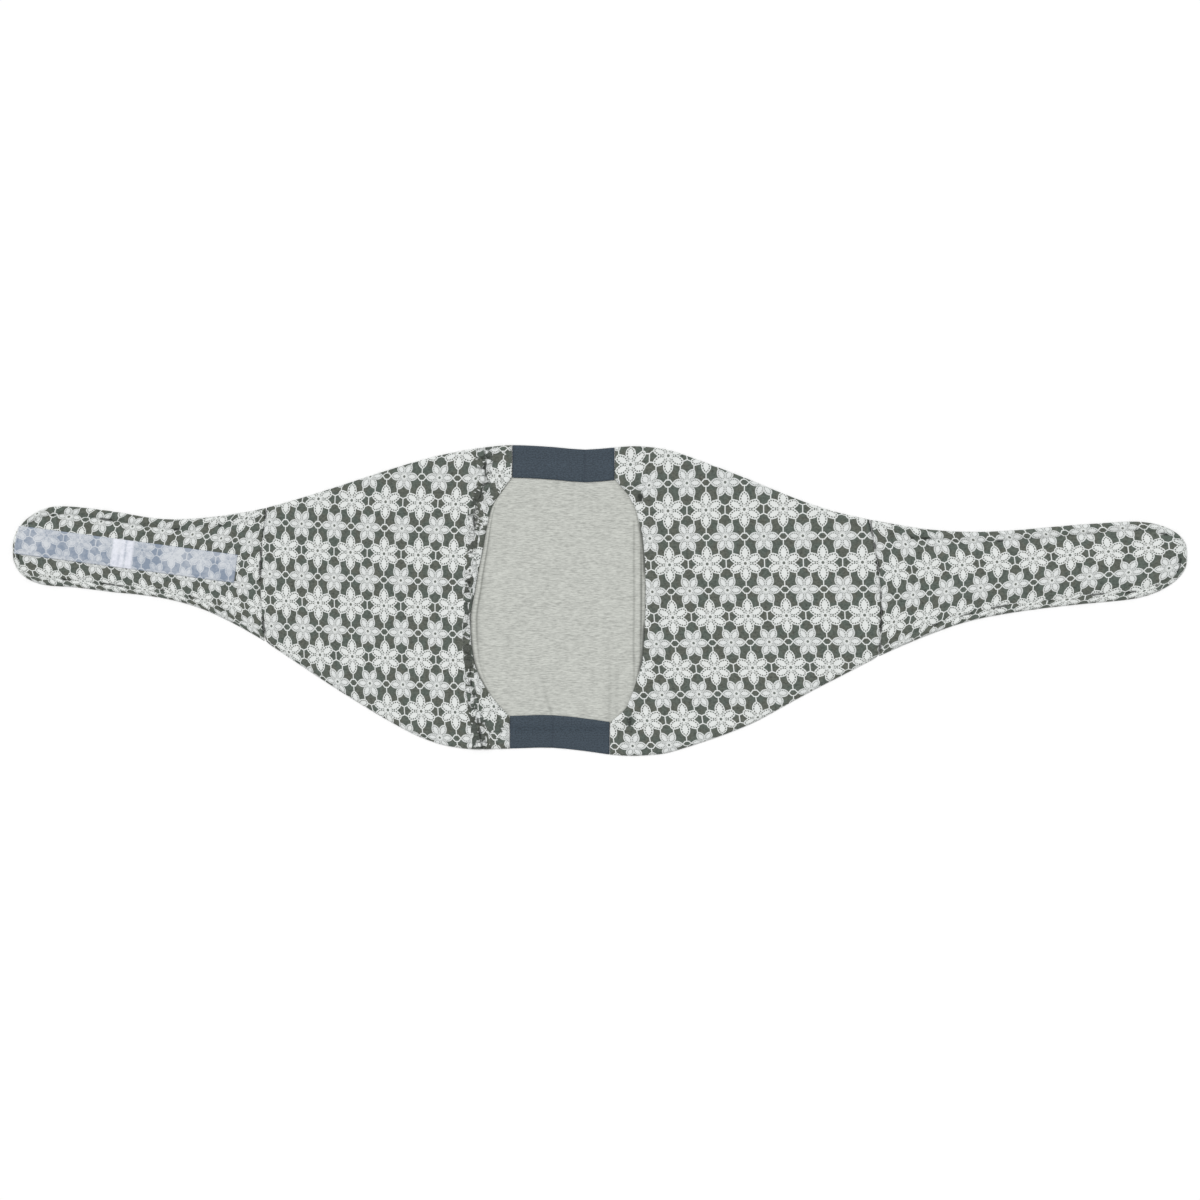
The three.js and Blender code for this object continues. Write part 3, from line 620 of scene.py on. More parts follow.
def gather_folds(x, y):
    """The crumpled band beside the window: its height, the painted shade in its creases and along
    its stitching, how much its folds break up the print, and how the print beyond it is moved."""
    heights, places, reaches = ([row[key] for row in GATHERS[::-1]] for key in ("y", "x", "reach"))
    line = np.interp(y, heights, places) + 1.2 * waver(y, 13, 41)
    reach = np.interp(y, heights, reaches)
    band = bell(x - line, reach) * (1 + 0.2 * bumps(x, y, 6, 42))
    phase = y / GATHER_PITCH + 0.33 * bumps(x, y, 11, 43) + 0.4 * waver(y, 17, 44)
    ridge = np.abs(np.sin(np.pi * phase)) ** 0.7
    small = np.abs(np.sin(np.pi * (2.3 * phase + 0.8 * bumps(x, y, 5, 45))))
    height = band * (2.0 * ridge + 0.6 * small - 0.9)
    height -= 0.9 * bell(x - line - 0.7, 1.4)
    # painted shade in the folds' hollows and along the gathering stitch
    crease = 0.7 * band * np.clip(1.1 - 1.6 * ridge + 0.5 * bumps(x, y, 4, 49), 0, 1)
    stitched = bell(x - line - 0.7, 1.3) * (0.55 + 0.6 * waver(y, 5, 48))
    crease = np.maximum(crease, np.clip(stitched * ramp(np.abs(y), 50, 70), 0, 1))
    crumple = ramp(band, 0.3, 0.55)
    beyond = ramp(x - line, 0, 1.4)
    moved = np.outer(beyond * ramp(y, 60, 80), CORNER_SHIFT["upper"])
    moved += np.outer(beyond * ramp(-y, 60, 80), CORNER_SHIFT["lower"])
    loose = 0.45 * ramp(x - line, 4, 9) * ramp(np.abs(y), 55, 75)
    return height, crease, np.maximum(crumple, loose), moved


def make_panel(node):
    """A wing's broad part, from its seam to the window."""
    left = node == "left_panel"
    inner = window_left if left else window_right
    seam = seam_line(node, 0 if left else 1)
    places = np.arange(outline.lower(inner(0.0)), outline.upper(inner(0.0)), BORDER_STEP)
    rising = places if left else places[::-1]
    inner_border = Border(np.stack([inner(rising), rising], 1))

    def shape(across, up):
        toward = across if left else 1 - across
        dense = 1 - (1 - toward) * (0.62 + 0.38 * (1 - toward))
        if left:
            x, y = wing_points(dense, up, seam, inner)
        else:
            x, y = wing_points(1 - dense, up, inner, seam)
        seam_gap, window_gap = np.abs(x - seam(y)), np.abs(x - inner(y))
        hem = SEAM_HEM * (1 - ramp(seam_gap, 10, 90))
        height, under, crease, printed = sewn(node, x, y, hem, seam_gap)
        edge, _, _ = inner_border.measure(x, y)
        beside_band = (y > window_top(x)) | (y < window_foot(x))
        rounded = WING - fold_profile(np.minimum(edge, window_gap))
        height -= np.where(beside_band, 0.5 * bell(window_gap, 1.6), rounded + 0.1)
        hidden, crumple = 0 * x, 0 * x
        if left:
            folds, dark, crumple, moved = gather_folds(x, y)
            height += folds * ramp(window_gap, -1.0, 2.0)
            # dark: the gathers' painted shade
            crease = np.maximum(crease, dark)
            printed = printed + moved
        else:
            for place in TUCKS:
                tuck = bell(np.hypot(x - place["x"], (y - place["y"]) * 0.6), TUCK_REACH)
                height -= TUCK_DEPTH * tuck
                # painted shade in the tuck
                crease = np.maximum(crease, 0.8 * tuck)
                hidden = np.maximum(hidden, ramp(tuck, 0.3, 0.6))
            printed[:, 1] += CORNER_SHIFT["right"][1] * (1 - ramp(x, 30, 52)) * ramp(y, 95, 112)
        raised = lift(x, y)
        bottom = raised + under + 0.5 * near(edge, 1.2) ** 2
        height = np.maximum(height, 0.5 + bottom - raised)
        # painted shade along the window's edge, where the wing stands off the jersey
        rim = near(window_gap, 1.2) * (1 - ramp(np.abs(y), 60, 85))
        crease = np.maximum(crease, 0.6 * rim)
        marks = {"crease": crease, "hidden": hidden, "crumple": crumple}
        return x, y, raised + height, bottom, printed, marks

    return slab(node, shape)


# Jersey and elastic


def make_jersey():
    """The jersey panel, tucked under the wings and bands, with folds along its sides."""
    foot, top = jersey_foot(-34.0), jersey_top(-34.0)
    left_folds, right_folds = profile(LEFT_FOLDS, passes=5), profile(RIGHT_FOLDS, passes=5)
    rows = np.linspace(-90, 90, 91)
    leftmost, rightmost = window_left(rows).min(), window_right(rows).max()
    tucked, side = 0.04, 0.26  # shares of the columns: under the wing, and to the folds' end
    reach = LEFT_FOLDS[-1][0]

    def spread(across, left, right):
        """The places along the belt, and how far each is inside either side at its widest."""
        left_scale = np.maximum((WINDOW_START - left) / (WINDOW_START - leftmost), 0.15)
        right_scale = np.maximum((right - WINDOW_END) / (rightmost - WINDOW_END), 0.15)
        from_left = reach * np.clip((across - tucked) / (side - tucked), 0, 1)
        from_right = reach * np.clip((1 - tucked - across) / (side - tucked), 0, 1)
        inner_left, inner_right = left + reach * left_scale, right - reach * right_scale
        x = inner_left + (inner_right - inner_left) * (across - side) / (1 - 2 * side)
        x = np.where(across < side, left + from_left * left_scale, x)
        x = np.where(across > 1 - side, right - from_right * right_scale, x)
        x = np.where(across < tucked, left - JERSEY_TUCK * (1 - across / tucked), x)
        x = np.where(across > 1 - tucked, right + JERSEY_TUCK * (1 - (1 - across) / tucked), x)
        return x, from_left, from_right

    def fold_crease_shade(y, across, from_left, upright, shown):
        """Painted shade in the creases of the folds along both sides."""
        left = 0.5 * bell(from_left - 5.9, 0.8) + 0.2 * bell(from_left - 7.2, 1.8)
        left *= (across < 0.5) * span(y, -80, -10, 50, 85)
        right = 0.85 * bell(upright - 3.7, 1.0) * span(y, -75, -25, 40, 80)
        right += 0.4 * bell(upright - 10.5, 1.0) * span(y, -95, -70, 60, 85)
        return np.maximum(left, right * shown)

    def edge_dark(x, y, left, right):
        """The shade under the wings' edges, where they stand off the jersey."""
        left_gap = bell(x - left, 1.2) * (0.15 + 0.85 * span(-y, -5, 20, 78, 92))
        left_gap *= 1 - ramp(y, 45, 80)
        upper_gap = span(y, 18, 30, 62, 74)
        lower_gap = span(-y, 16, 28, 58, 70)
        right_gap = bell(x - right, 2.4) * (0.2 + upper_gap + lower_gap)
        return np.maximum(left_gap, right_gap)

    def shape(across, up):
        y = foot + up * (top - foot)
        left, right = window_left(y), window_right(y)
        x, from_left, from_right = spread(across, left, right)
        y = y + (jersey_foot(x) - foot) * (1 - up) + (jersey_top(x) - top) * up
        upright = rightmost - x + 0.5 * waver(y, 40, 54)
        shown = ramp(right - x, 0.2, 2.0) * (across > 0.5)
        folds = left_folds(from_left) * (across < 0.5) + right_folds(upright) * shown
        folds *= span(up, 0.05, 0.22, 0.78, 0.95)
        height = JERSEY + folds * (1 + 0.2 * waver(y, 31, 51))
        visible = ramp(from_left, 3, 15) * ramp(from_right, 3, 15)
        height += visible * (0.16 * bumps(x * 1.6, y, 26, 52) + 0.07 * bumps(x * 2, y, 11, 53))
        faint = bell(x - (11 + 0.02 * y), 1.8) + 0.8 * bell(x - (17 + 0.015 * y), 1.6)
        height -= 0.4 * visible * faint * ramp(-y, 20, 60)
        drawn = ramp(-y, 62, 100)
        height += 0.7 * drawn * bell(x + 41 + 0.25 * (y + 100), 5)
        # painted shade along the drawn fold, the faint creases, the side folds and under the wings'
        # edges
        drawn_fold_shade = 0.3 * drawn * bell(x + 46 + 0.3 * (y + 100), 1.6)
        drawn_fold_shade += 0.2 * visible * faint * ramp(-y, 40, 75)
        crease = np.maximum(fold_crease_shade(y, across, from_left, upright, shown), drawn_fold_shade)
        crease = np.maximum(crease, edge_dark(x, y, left, right))
        return x, y, height, 0 * x, np.stack([x, y], 1) * MM, {"crease": crease}

    return slab("belly_panel", shape)


def make_band(node):
    """One elastic band, sewn between the wings and over the jersey's hem."""
    edges = edges_of(node)
    start, end = edges[:, :, 0].min(), edges[:, :, 0].max()
    low, high = along_line(edges, 0, 1, 3), along_line(edges, 1, 1, 3)
    crease_at = start + BAND_CREASE[node] * (end - start)

    def shape(across, up):
        x = start + across * (end - start)
        y = low(x) + up * (high(x) - low(x))
        edge = np.minimum(y - low(x), high(x) - y)
        fold = bell(x - crease_at - 0.04 * (y - y.mean()), 1.3)
        height = ELASTIC * (0.62 + 0.38 * ramp(edge, 0, 1.2))
        height += 0.1 * bumps(x, y, 17, 61) - 0.34 * fold
        ends = np.minimum(x - start, end - x)
        height -= 0.35 * bell(ends, 1.6)
        # painted shade in the band's crease and at its ends under the wings
        crease = np.maximum(0.5 * fold, 0.6 * bell(ends, 0.8))
        raised = lift(x, y)
        bottom = raised + 0.2 * (1 - ramp(edge, 0, 0.8))
        return x, y, raised + height, bottom, np.stack([x, y], 1) * MM, {"crease": crease}

    return slab(node, shape)


# Tape


class Tape:
    """A straight tape as it is laid: where it starts, its two directions and its size."""

    def __init__(self, node):
        points = edges_of(node).reshape(-1, 3)[:, :2]
        box = points - points.mean(0)
        vectors = np.linalg.eigh(box.T @ box)[1]
        self.along = vectors[:, 1] * np.sign(vectors[0, 1])
        self.across = np.array([-self.along[1], self.along[0]])
        run, breadth = points @ self.along, points @ self.across
        self.start = self.along * run.min() + self.across * (breadth.min() + breadth.max()) / 2
        self.length, self.width = np.ptp(run), np.ptp(breadth)

    def place(self, across, up):
        """x and y at these shares, how far they are along the tape, off its middle line, and
        inside its edge."""
        run, offset = across * self.length, (up - 0.5) * self.width
        x = self.start[0] + self.along[0] * run + self.across[0] * offset
        y = self.start[1] + self.along[1] * run + self.across[1] * offset
        edge = np.minimum(np.minimum(run, self.length - run), self.width / 2 - np.abs(offset))
        return x, y, run, offset, edge


def tail_height(x, y):
    """The left tail's top under the hook tape."""
    height, _, _, _ = hemmed(x, y, np.ones_like(x))
    return height + body_waves(x, y)


def make_hook_strip():
    """Hook tape in two lengths, one lapping over the other, stitched flat on the left tail."""
    tape = Tape("hook_strip")
    lap_start, lap_end = HOOK_LAP

    def bridged(x, y):
        """The tail's height evened out over the width that the tape is too stiff to follow."""
        steps = [dx * tape.along + dy * tape.across for dx in (-3.5, 0, 3.5) for dy in (-3, 0, 3)]
        return np.mean([tail_height(x + dx, y + dy) for dx, dy in steps], axis=0)

    def shape(across, up):
        x, y, run, offset, edge = tape.place(across, up)
        inset, _, outward = hem_border.measure(x, y)
        crossed = (x - outline.start < 30) * np.maximum(HOOK_MARGIN - inset, 0)
        x, y = x - outward[:, 0] * crossed, y - outward[:, 1] * crossed
        bottom = np.maximum(bridged(x, y), tail_height(x, y)) + 0.12
        lap = span(run, lap_start - 0.6, lap_start + 0.6, lap_end - 0.6, lap_end + 0.6)
        top = bottom + HOOK * (0.45 + 0.55 * ramp(edge, 0, 0.9)) + HOOK_LAP_RISE * lap
        top -= 0.18 * bell(edge - 1.8, 0.5)
        seen = span(run, lap_start - 1.2, lap_start, lap_end, lap_end + 1.2)
        line = 0.55 * bell(run - 101.5, 1.0) + 0.25 * bell(run - 96, 1.5)
        # painted shadow at the tape's lower outer corner, and painted shade along its edges
        corner = ramp(run, tape.length - 2.5, tape.length - 0.5) * ramp(-offset, -4, 4)
        marks = {"crease": np.maximum(0.15 * bell(edge, 0.5), corner), "lap": seen * (1 - line)}
        return x, y, top, bottom, print_coords("left_tail", x, y), marks

    return slab("hook_strip", shape)


def make_loop_patch():
    """The napped loop tape under the right tail."""
    tape = Tape("loop_patch")

    def shape(across, up):
        x, y, _, _, edge = tape.place(across, up)
        top = np.full_like(x, LOOP - 0.02)
        bottom = 0.25 * (1 - ramp(edge, 0, 1.0)) + 0.03 * (1 + bumps(x, y, 2.5, 71))
        return x, y, top, bottom, np.stack([x, y], 1) * MM, {"crease": 0 * x}

    return slab("loop_patch", shape)


# Materials


def paint(red, green, blue):
    """A colour as seen on a screen, from 0 to 255, as a colour for light."""
    values = np.array([red, green, blue]) / 255
    light = np.where(values <= 0.04045, values / 12.92, ((values + 0.055) / 1.055) ** 2.4)
    return tuple(float(v) for v in light)


SMALL_FLOWERS = paint(222, 225, 224)
# a dark tone for the print ground's mottle and weave, also used as painted shade in its creases
CLOTH_DARK_AND_PAINTED_SHADE = paint(36, 40, 37)
CLOTH_BACK, BACK_SHADE = paint(104, 108, 104), paint(74, 78, 74)
JERSEY_PAINTED_SHADE = paint(84, 87, 82)
ELASTIC_PAINTED_SHADE = paint(44, 52, 62)
# the second colour on the next line: painted shade along the hook tape's edges and at its corner
TAPE_SHADE, TAPE_PAINTED_SHADE = paint(128, 141, 159), paint(120, 130, 146)
TAPE_LAPPED = paint(227, 229, 238)
NAP, NAP_SHADE = paint(88, 92, 90), paint(58, 61, 60)


class Field:
    """A number at each point of a surface. Arithmetic on it adds the material's Math nodes."""

    def __init__(self, tree, socket):
        self.tree, self.socket = tree, socket

    def math(self, operation, *others, clamp=False):
        node = self.tree.nodes.new("ShaderNodeMath")
        node.operation, node.use_clamp = operation, clamp
        for socket, value in zip(node.inputs, (self, *others)):
            if isinstance(value, Field):
                self.tree.links.new(value.socket, socket)
            else:
                socket.default_value = value
        return Field(self.tree, node.outputs[0])

    def __add__(self, other):
        return self.math("ADD", other)

    def __sub__(self, other):
        return self.math("SUBTRACT", other)

    def __mul__(self, other):
        return self.math("MULTIPLY", other)

    def __neg__(self):
        return self * -1.0

    def size(self):
        return self.math("ABSOLUTE")

    def low(self, other):
        return self.math("MINIMUM", other)

    def high(self, other):
        return self.math("MAXIMUM", other)

    def left(self, share):
        """What is left of 1 when this is taken from it in that share."""
        return -(self * share) + 1.0

    def clamp(self):
        return self.math("ADD", 0.0, clamp=True)

    def far(self, other):
        """How far the point (self, other) is from nothing."""
        return (self * self + other * other).math("SQRT")


class Material:
    """A material under construction."""

    def __init__(self, name, roughness, specular=0.25, sheen=0.0):
        self.made = bpy.data.materials.new(name)
        self.made.use_nodes = True
        self.tree = self.made.node_tree
        self.shader = self.tree.nodes["Principled BSDF"]
        self.shader.inputs["Roughness"].default_value = roughness
        self.shader.inputs["Specular IOR Level"].default_value = specular
        self.shader.inputs["Sheen Weight"].default_value = sheen

    def add(self, kind, values, links, **settings):
        """A new node with its own settings, constant values on its inputs, and links to them."""
        node = self.tree.nodes.new("ShaderNode" + kind)
        for name, setting in settings.items():
            setattr(node, name, setting)
        for name, value in values.items():
            node.inputs[name].default_value = value
        for name, output in links.items():
            self.tree.links.new(output, node.inputs[name])
        return node

    def attribute(self, name):
        node = self.add("Attribute", {}, {}, attribute_name=name)
        return Field(self.tree, node.outputs["Fac"])

    def print_place(self):
        """The print's two coordinates."""
        coords = self.add("UVMap", {}, {}, uv_map="Print")
        parts = self.add("SeparateXYZ", {}, {0: coords.outputs["UV"]})
        return Field(self.tree, parts.outputs[0]), Field(self.tree, parts.outputs[1])

    def place(self):
        return self.add("TexCoord", {}, {}).outputs["Object"]

    def stretched(self, x, y, z):
        """Object coordinates times these, per metre."""
        node = self.add("Mapping", {"Scale": (x, y, z)}, {"Vector": self.place()})
        return node.outputs["Vector"]

    def noise_node(self, x, y, z, detail):
        values = {"Scale": 1.0, "Detail": detail}
        return self.add("TexNoise", values, {"Vector": self.stretched(x, y, z)})

    def noise(self, x, y, z, detail=2.0):
        """Noise from about 0 to 1 with that many features a metre each way."""
        return Field(self.tree, self.noise_node(x, y, z, detail).outputs["Fac"])

    def patches(self, x, y, uneven):
        """Uneven patches with that many a metre each way. Gives two numbers that are the same
        all over a patch, a third such number, and how far each point is inside its patch."""
        wander = self.noise_node(2.2 * x, 2.2 * y, 0.0, 2.0).outputs["Color"]
        links = {0: wander, 2: self.stretched(x, y, 0.0)}
        scale = {1: (uneven, uneven, 0.0)}
        moved = self.add("VectorMath", scale, links, operation="MULTIPLY_ADD").outputs[0]
        nearest, border = (
            self.add(
                "TexVoronoi",
                {"Scale": 1.0},
                {"Vector": moved},
                voronoi_dimensions="2D",
                feature=feature,
            )
            for feature in ("F1", "DISTANCE_TO_EDGE")
        )
        parts = self.add("SeparateColor", {}, {0: nearest.outputs["Color"]})
        numbers = [Field(self.tree, output) for output in parts.outputs]
        return (*numbers, Field(self.tree, border.outputs["Distance"]))

    def wave(self, direction, per_metre, distortion=0.0):
        """Even ribs along an axis."""
        values = {"Scale": per_metre * 0.314159, "Distortion": distortion}
        node = self.add("TexWave", values, {"Vector": self.place()}, bands_direction=direction)
        return Field(self.tree, node.outputs["Fac"])

    def mixed(self, first, second, share):
        """A colour between two, each a tuple or another mix's output."""
        values, links = {}, {0: share.socket}
        for socket, colour in ((6, first), (7, second)):
            if isinstance(colour, tuple):
                values[socket] = (*colour, 1)
            else:
                links[socket] = colour
        return self.add("Mix", values, links, data_type="RGBA").outputs[2]

    def finish(self, colour, relief, depth):
        """Joins colour and relief to the shader. depth: the relief's height in millimetres."""
        self.tree.links.new(colour, self.shader.inputs["Base Color"])
        bump = self.add("Bump", {"Distance": depth * MM}, {"Height": relief.socket})
        self.tree.links.new(bump.outputs["Normal"], self.shader.inputs["Normal"])
        return self.made


def petal(x, y, turn, root, tip, width, blunt):
    """One petal, from its root to its tip in a direction given in degrees. Gives how far a point
    is outside its edge, and outside the nearest bead of its stitching."""
    cosine, sine = float(np.cos(np.radians(turn))), float(np.sin(np.radians(turn)))
    length = (tip - root) / 2
    hollow = (length**2 - width**2) / (2 * width)
    along = x * cosine + y * sine - (root + tip) / 2
    aside = (y * cosine - x * sine).size()
    edge = along.far(aside + hollow) - (hollow + width)
    if blunt:
        edge = edge.low((along - (length - blunt)).far(aside) - blunt)
    bead = (aside * (1 / width)).math("ARCTAN2", along * (1 / length))
    dots = (edge + BEAD_INSET).far((bead * BEADS).math("SINE") * BEAD_SPREAD) - BEAD_SIZE
    return edge, dots


def flower(x, y, petals):
    """How far a point is outside a flower's petals, and outside their beads."""
    (edge, dots), (other_edge, other_dots) = (petal(x, y, *shape) for shape in petals)
    return edge.low(other_edge), dots.low(other_dots)


def lace(material, soft, moved=(0.0, 0.0)):
    """The print, in a cell with a large flower at its corners and a small one in its middle.
    Gives the shares covered by white, by the large flowers' beads, by the finer ones of the
    small flowers, by shallow lines in and between petals, by the dark middles and by small
    flowers. moved shifts the print, in cells."""
    u, v = material.print_place()
    u, v = u + moved[0], v + moved[1]

    def folded(value, size):
        return ((value + 1000.5).math("FRACT") - 0.5).size() * size

    def inside(distance):
        return (distance * (-1 / soft) + 0.5).clamp()

    a, b = folded(u, CELL[0]), folded(v, CELL[1])
    a2, b2 = -(a - CELL[0] / 2), -(b - CELL[1] / 2)
    large, large_beads = flower(a, b, LARGE_FLOWER)
    small, small_beads = flower(a2, b2, SMALL_FLOWER)
    large_middle, small_middle = a.far(b), a2.far(b2)

    stem = (a - THREAD).high(-(b - 17.4)).high(b - 23.0)
    ring = (b2 - 3.3).high(a * 0.74 + b2 * 0.67 - 3.6).size() - THREAD
    tie = (a2 - THREAD).high(b - 4.2)
    branch = (b * 0.92 + a2 * -0.39 - 3.6).size() - THREAD
    branch = branch.high(a2 - 4.0).high(-(b - 3.4))
    link = ((a - 12.4).size() - THREAD).high(-(b - 9.3)).high(b - 14.0)
    threads = stem.low(ring).low(tie).low(branch).low(link)

    petals = large.low(small)
    middle = large_middle.low(small_middle)
    white = inside(petals).high(inside(threads)).high(inside(middle - 3.0))
    beads = inside(large_beads) * inside(-(large_middle - 4.6))
    fine = inside(small_beads + 0.1) * inside(-(small_middle - 4.0))
    track = inside((large + 1.6).size() - 0.4) * 0.3
    track = track.high(inside((small + 1.5).size() - 0.4) * 0.6)
    rim = inside(small) * inside(-(small + 1.5))
    clefts = inside(-(petals + 0.6)) * inside((middle - 6.0).size() - 2.4)
    shallow = track.high(rim * 0.2).high(clefts * 0.9)
    eyes = inside((large_middle - 1.5).low(small_middle - 1.35))
    return white, beads, fine, shallow, eyes, inside(small)


def printed_cloth(name, ground, white):
    """Cloth with the lace print."""
    material = Material(name, 0.85, sheen=0.08)
    crumple = material.attribute("crumple")
    shift, rise, chance, depth = material.patches(100, 135, 0.8)
    loose, tight = ((crumple - 0.2) * 20.0).clamp(), ((crumple - 0.6) * 20.0).clamp()
    amount = loose * 0.1 + tight * 0.45
    moved = ((shift - 0.5) * amount, (rise - 0.5) * amount)
    covered, beads, fine, shallow, eyes, small = lace(material, PRINT_FADE, moved)
    weave = material.noise(900, 900, 900, 3.0)
    fibre = material.noise(330, 330, 330, 3.0)
    heather = material.noise(430, 560, 430, 3.0)
    drawn = covered * beads.left(0.97) * fine.left(0.75)
    drawn = drawn * shallow.left(0.44) * eyes.left(0.92)
    folded_in = ((chance - 0.66) * 12.0).clamp() * tight
    hidden = folded_in.high(material.attribute("hidden"))
    opened = drawn * hidden.left(0.95)
    shade = (opened * 0.99 + (fibre - 0.5) * 0.2 * opened).clamp()
    warm = tuple(c * k for c, k in zip(ground, (1.04, 0.985, 0.965)))
    cool = tuple(c * k for c, k in zip(ground, (0.95, 1.01, 1.02)))
    tint = material.noise(95, 95, 95, 2.0)
    cloth = material.mixed(warm, cool, ((tint - 0.4) * 5.0).clamp())
    cloth = material.mixed(cloth, CLOTH_DARK_AND_PAINTED_SHADE, ((heather - 0.4) * 1.7).clamp())
    flowers = material.mixed(white, SMALL_FLOWERS, small)
    colour = material.mixed(cloth, flowers, shade)
    colour = material.mixed(colour, CLOTH_DARK_AND_PAINTED_SHADE, ((weave - 0.45) * 0.4).clamp())
    # painted shade: ragged dark lines in the creases with softer shade around them, shade in the
    # gaps between crumpled folds, and on folded-in patches
    crease = material.attribute("crease")
    ragged = material.noise(190, 330, 190, 2.0)
    sharp = ((crease * 1.3 + ragged - 0.98) * 3.2).clamp()
    gaps = (-(depth * 11.0) + 1.1).clamp() * (tight + loose * 0.3)
    gaps = gaps * (ragged * 1.6 - 0.2).clamp()
    shaded = (sharp * 0.66 + crease * 0.2).high(gaps * 0.6).high(folded_in * 0.4)
    colour = material.mixed(colour, CLOTH_DARK_AND_PAINTED_SHADE, shaded)
    relief = opened * 0.5 + weave * 0.3 - gaps * 1.5
    return material.finish(colour, relief, 0.3)


def plain_cloth(name, colour, dark):
    """The wings' plain back."""
    material = Material(name, 0.9)
    weave = material.noise(1300, 700, 900, 2.0)
    mixed = material.mixed(colour, dark, ((weave - 0.35) * 0.9).clamp())
    return material.finish(mixed, weave, 0.12)


def jersey_cloth(name, light, mid, dark):
    """Heathered jersey: streaks along the knitted rows."""
    material = Material(name, 0.92, sheen=0.12)
    streak = material.noise(90, 1000, 90, 3.0)
    fleck = material.noise(240, 1500, 240, 2.0)
    patch = material.noise(26, 60, 26, 2.0)
    tone = (streak - 0.5) * 2.2 + (fleck - 0.5) * 5.0 + (patch - 0.5) * 0.5
    colour = material.mixed(mid, light, tone.clamp())
    colour = material.mixed(colour, dark, ((-tone) * 0.8).clamp())
    # painted shade in the jersey's folds and under the wings' edges
    colour = material.mixed(colour, JERSEY_PAINTED_SHADE, material.attribute("crease") * 0.75)
    knit = material.wave("X", 620, 1.2) * 0.5 + fleck * 0.5
    return material.finish(colour, knit, 0.1)


def ribbed_elastic(name, light, dark):
    """Woven elastic: fine ribs along the band crossed by its picks."""
    material = Material(name, 0.7)
    ribs = material.wave("Y", 700, 0.6)
    picks = material.wave("X", 900, 0.9)
    speck = material.noise(700, 1100, 700, 2.0)
    tone = (ribs * 0.3 + picks * 0.2 + (speck - 0.5) * 4.0 + 0.25).clamp()
    colour = material.mixed(dark, light, tone)
    # painted shade in the band's crease and at its ends
    colour = material.mixed(colour, ELASTIC_PAINTED_SHADE, material.attribute("crease") * 0.55)
    return material.finish(colour, ribs * 0.6 + picks * 0.25 + speck * 0.15, 0.14)


def hook_tape(name, light):
    """Clear hook tape: the print shows through it, blurred and blued, and less where it laps."""
    material = Material(name, 0.45, specular=0.4)
    covered, beads, fine, shallow, eyes, _ = lace(material, TAPE_FADE)
    hooks = material.noise(900, 900, 900, 1.0)
    haze = material.noise(85, 85, 85, 3.0)
    veil = material.noise(16, 16, 16, 1.0)
    cloud = material.noise(300, 300, 300, 2.0)
    print_seen = covered * shallow.left(0.55) * fine.left(0.5)
    print_seen = print_seen * beads.left(0.45) * eyes.left(0.5)
    shade = print_seen * 0.74 + (haze - 0.5) * 1.1
    shade = shade + (veil - 0.5) * 1.0 + (cloud - 0.5) * 0.8 + (hooks - 0.5) * 0.2 + 0.1
    colour = material.mixed(TAPE_SHADE, light, shade.clamp())
    lap = material.attribute("lap")
    lapped = (lap * 0.86 + (cloud - 0.5) * lap * 0.8).clamp()
    colour = material.mixed(colour, TAPE_LAPPED, lapped)
    # painted shade along the tape's edges and a painted shadow at its corner
    colour = material.mixed(colour, TAPE_PAINTED_SHADE, material.attribute("crease") * 0.3)
    return material.finish(colour, hooks, 0.22)


def loop_tape(name, colour, dark):
    """Napped loop tape."""
    material = Material(name, 0.95)
    nap = material.noise(1500, 1500, 900, 3.0)
    mixed = material.mixed(colour, dark, ((nap - 0.4) * 1.2).clamp())
    return material.finish(mixed, nap, 0.3)


# The add-on


class BeltColours(bpy.types.PropertyGroup):
    """Colours of the belt's cloth and tape."""

    ground: FloatVectorProperty(
        name="Print ground",
        description="Cloth between the flowers",
        subtype="COLOR",
        default=paint(97, 103, 96),
    )
    flowers: FloatVectorProperty(
        name="Print flowers",
        description="Lace flowers and threads",
        subtype="COLOR",
        default=paint(225, 228, 226),
    )
    jersey: FloatVectorProperty(
        name="Jersey",
        description="Heathered jersey over the belly",
        subtype="COLOR",
        default=paint(189, 191, 185),
    )
    elastic: FloatVectorProperty(
        name="Elastic",
        description="Woven elastic bands",
        subtype="COLOR",
        default=paint(68, 80, 91),
    )
    tape: FloatVectorProperty(
        name="Hook tape",
        description="Clear tape where the print's flowers show through",
        subtype="COLOR",
        default=paint(204, 208, 213),
    )


class BeltStudio(bpy.types.PropertyGroup):
    """The stage's light and camera."""

    distance: FloatProperty(
        name="Camera height",
        description="How high the camera stands above the belt",
        default=4.0,
        unit="LENGTH",
    )
    framed: FloatProperty(
        name="Framed width",
        description="How much of the surface the picture shows",
        default=1.104,
        unit="LENGTH",
    )
    sky: FloatProperty(name="Sky", description="Strength of the light from all round", default=0.62)
    key: FloatProperty(name="Key", description="Strength of the soft main light", default=1.5)


def colour_of(name):
    """One of the belt's colours as it is set now."""
    return tuple(getattr(bpy.context.scene.belt_colours, name))


def cloth_materials():
    """The printed face and the plain back, made once."""
    found = [bpy.data.materials.get(name) for name in ("lace_print", "plain_back")]
    if all(found):
        return found
    face = printed_cloth("lace_print", colour_of("ground"), colour_of("flowers"))
    return [face, plain_cloth("plain_back", CLOTH_BACK, BACK_SHADE)]


class BELT_OT_tails(bpy.types.Operator):
    """Make both tails"""

    bl_idname = "belt.tails"
    bl_label = "Tails"

    def execute(self, context):
        for node in ("left_tail", "right_tail"):
            dress(make_tail(node), node, *cloth_materials())
        return {"FINISHED"}


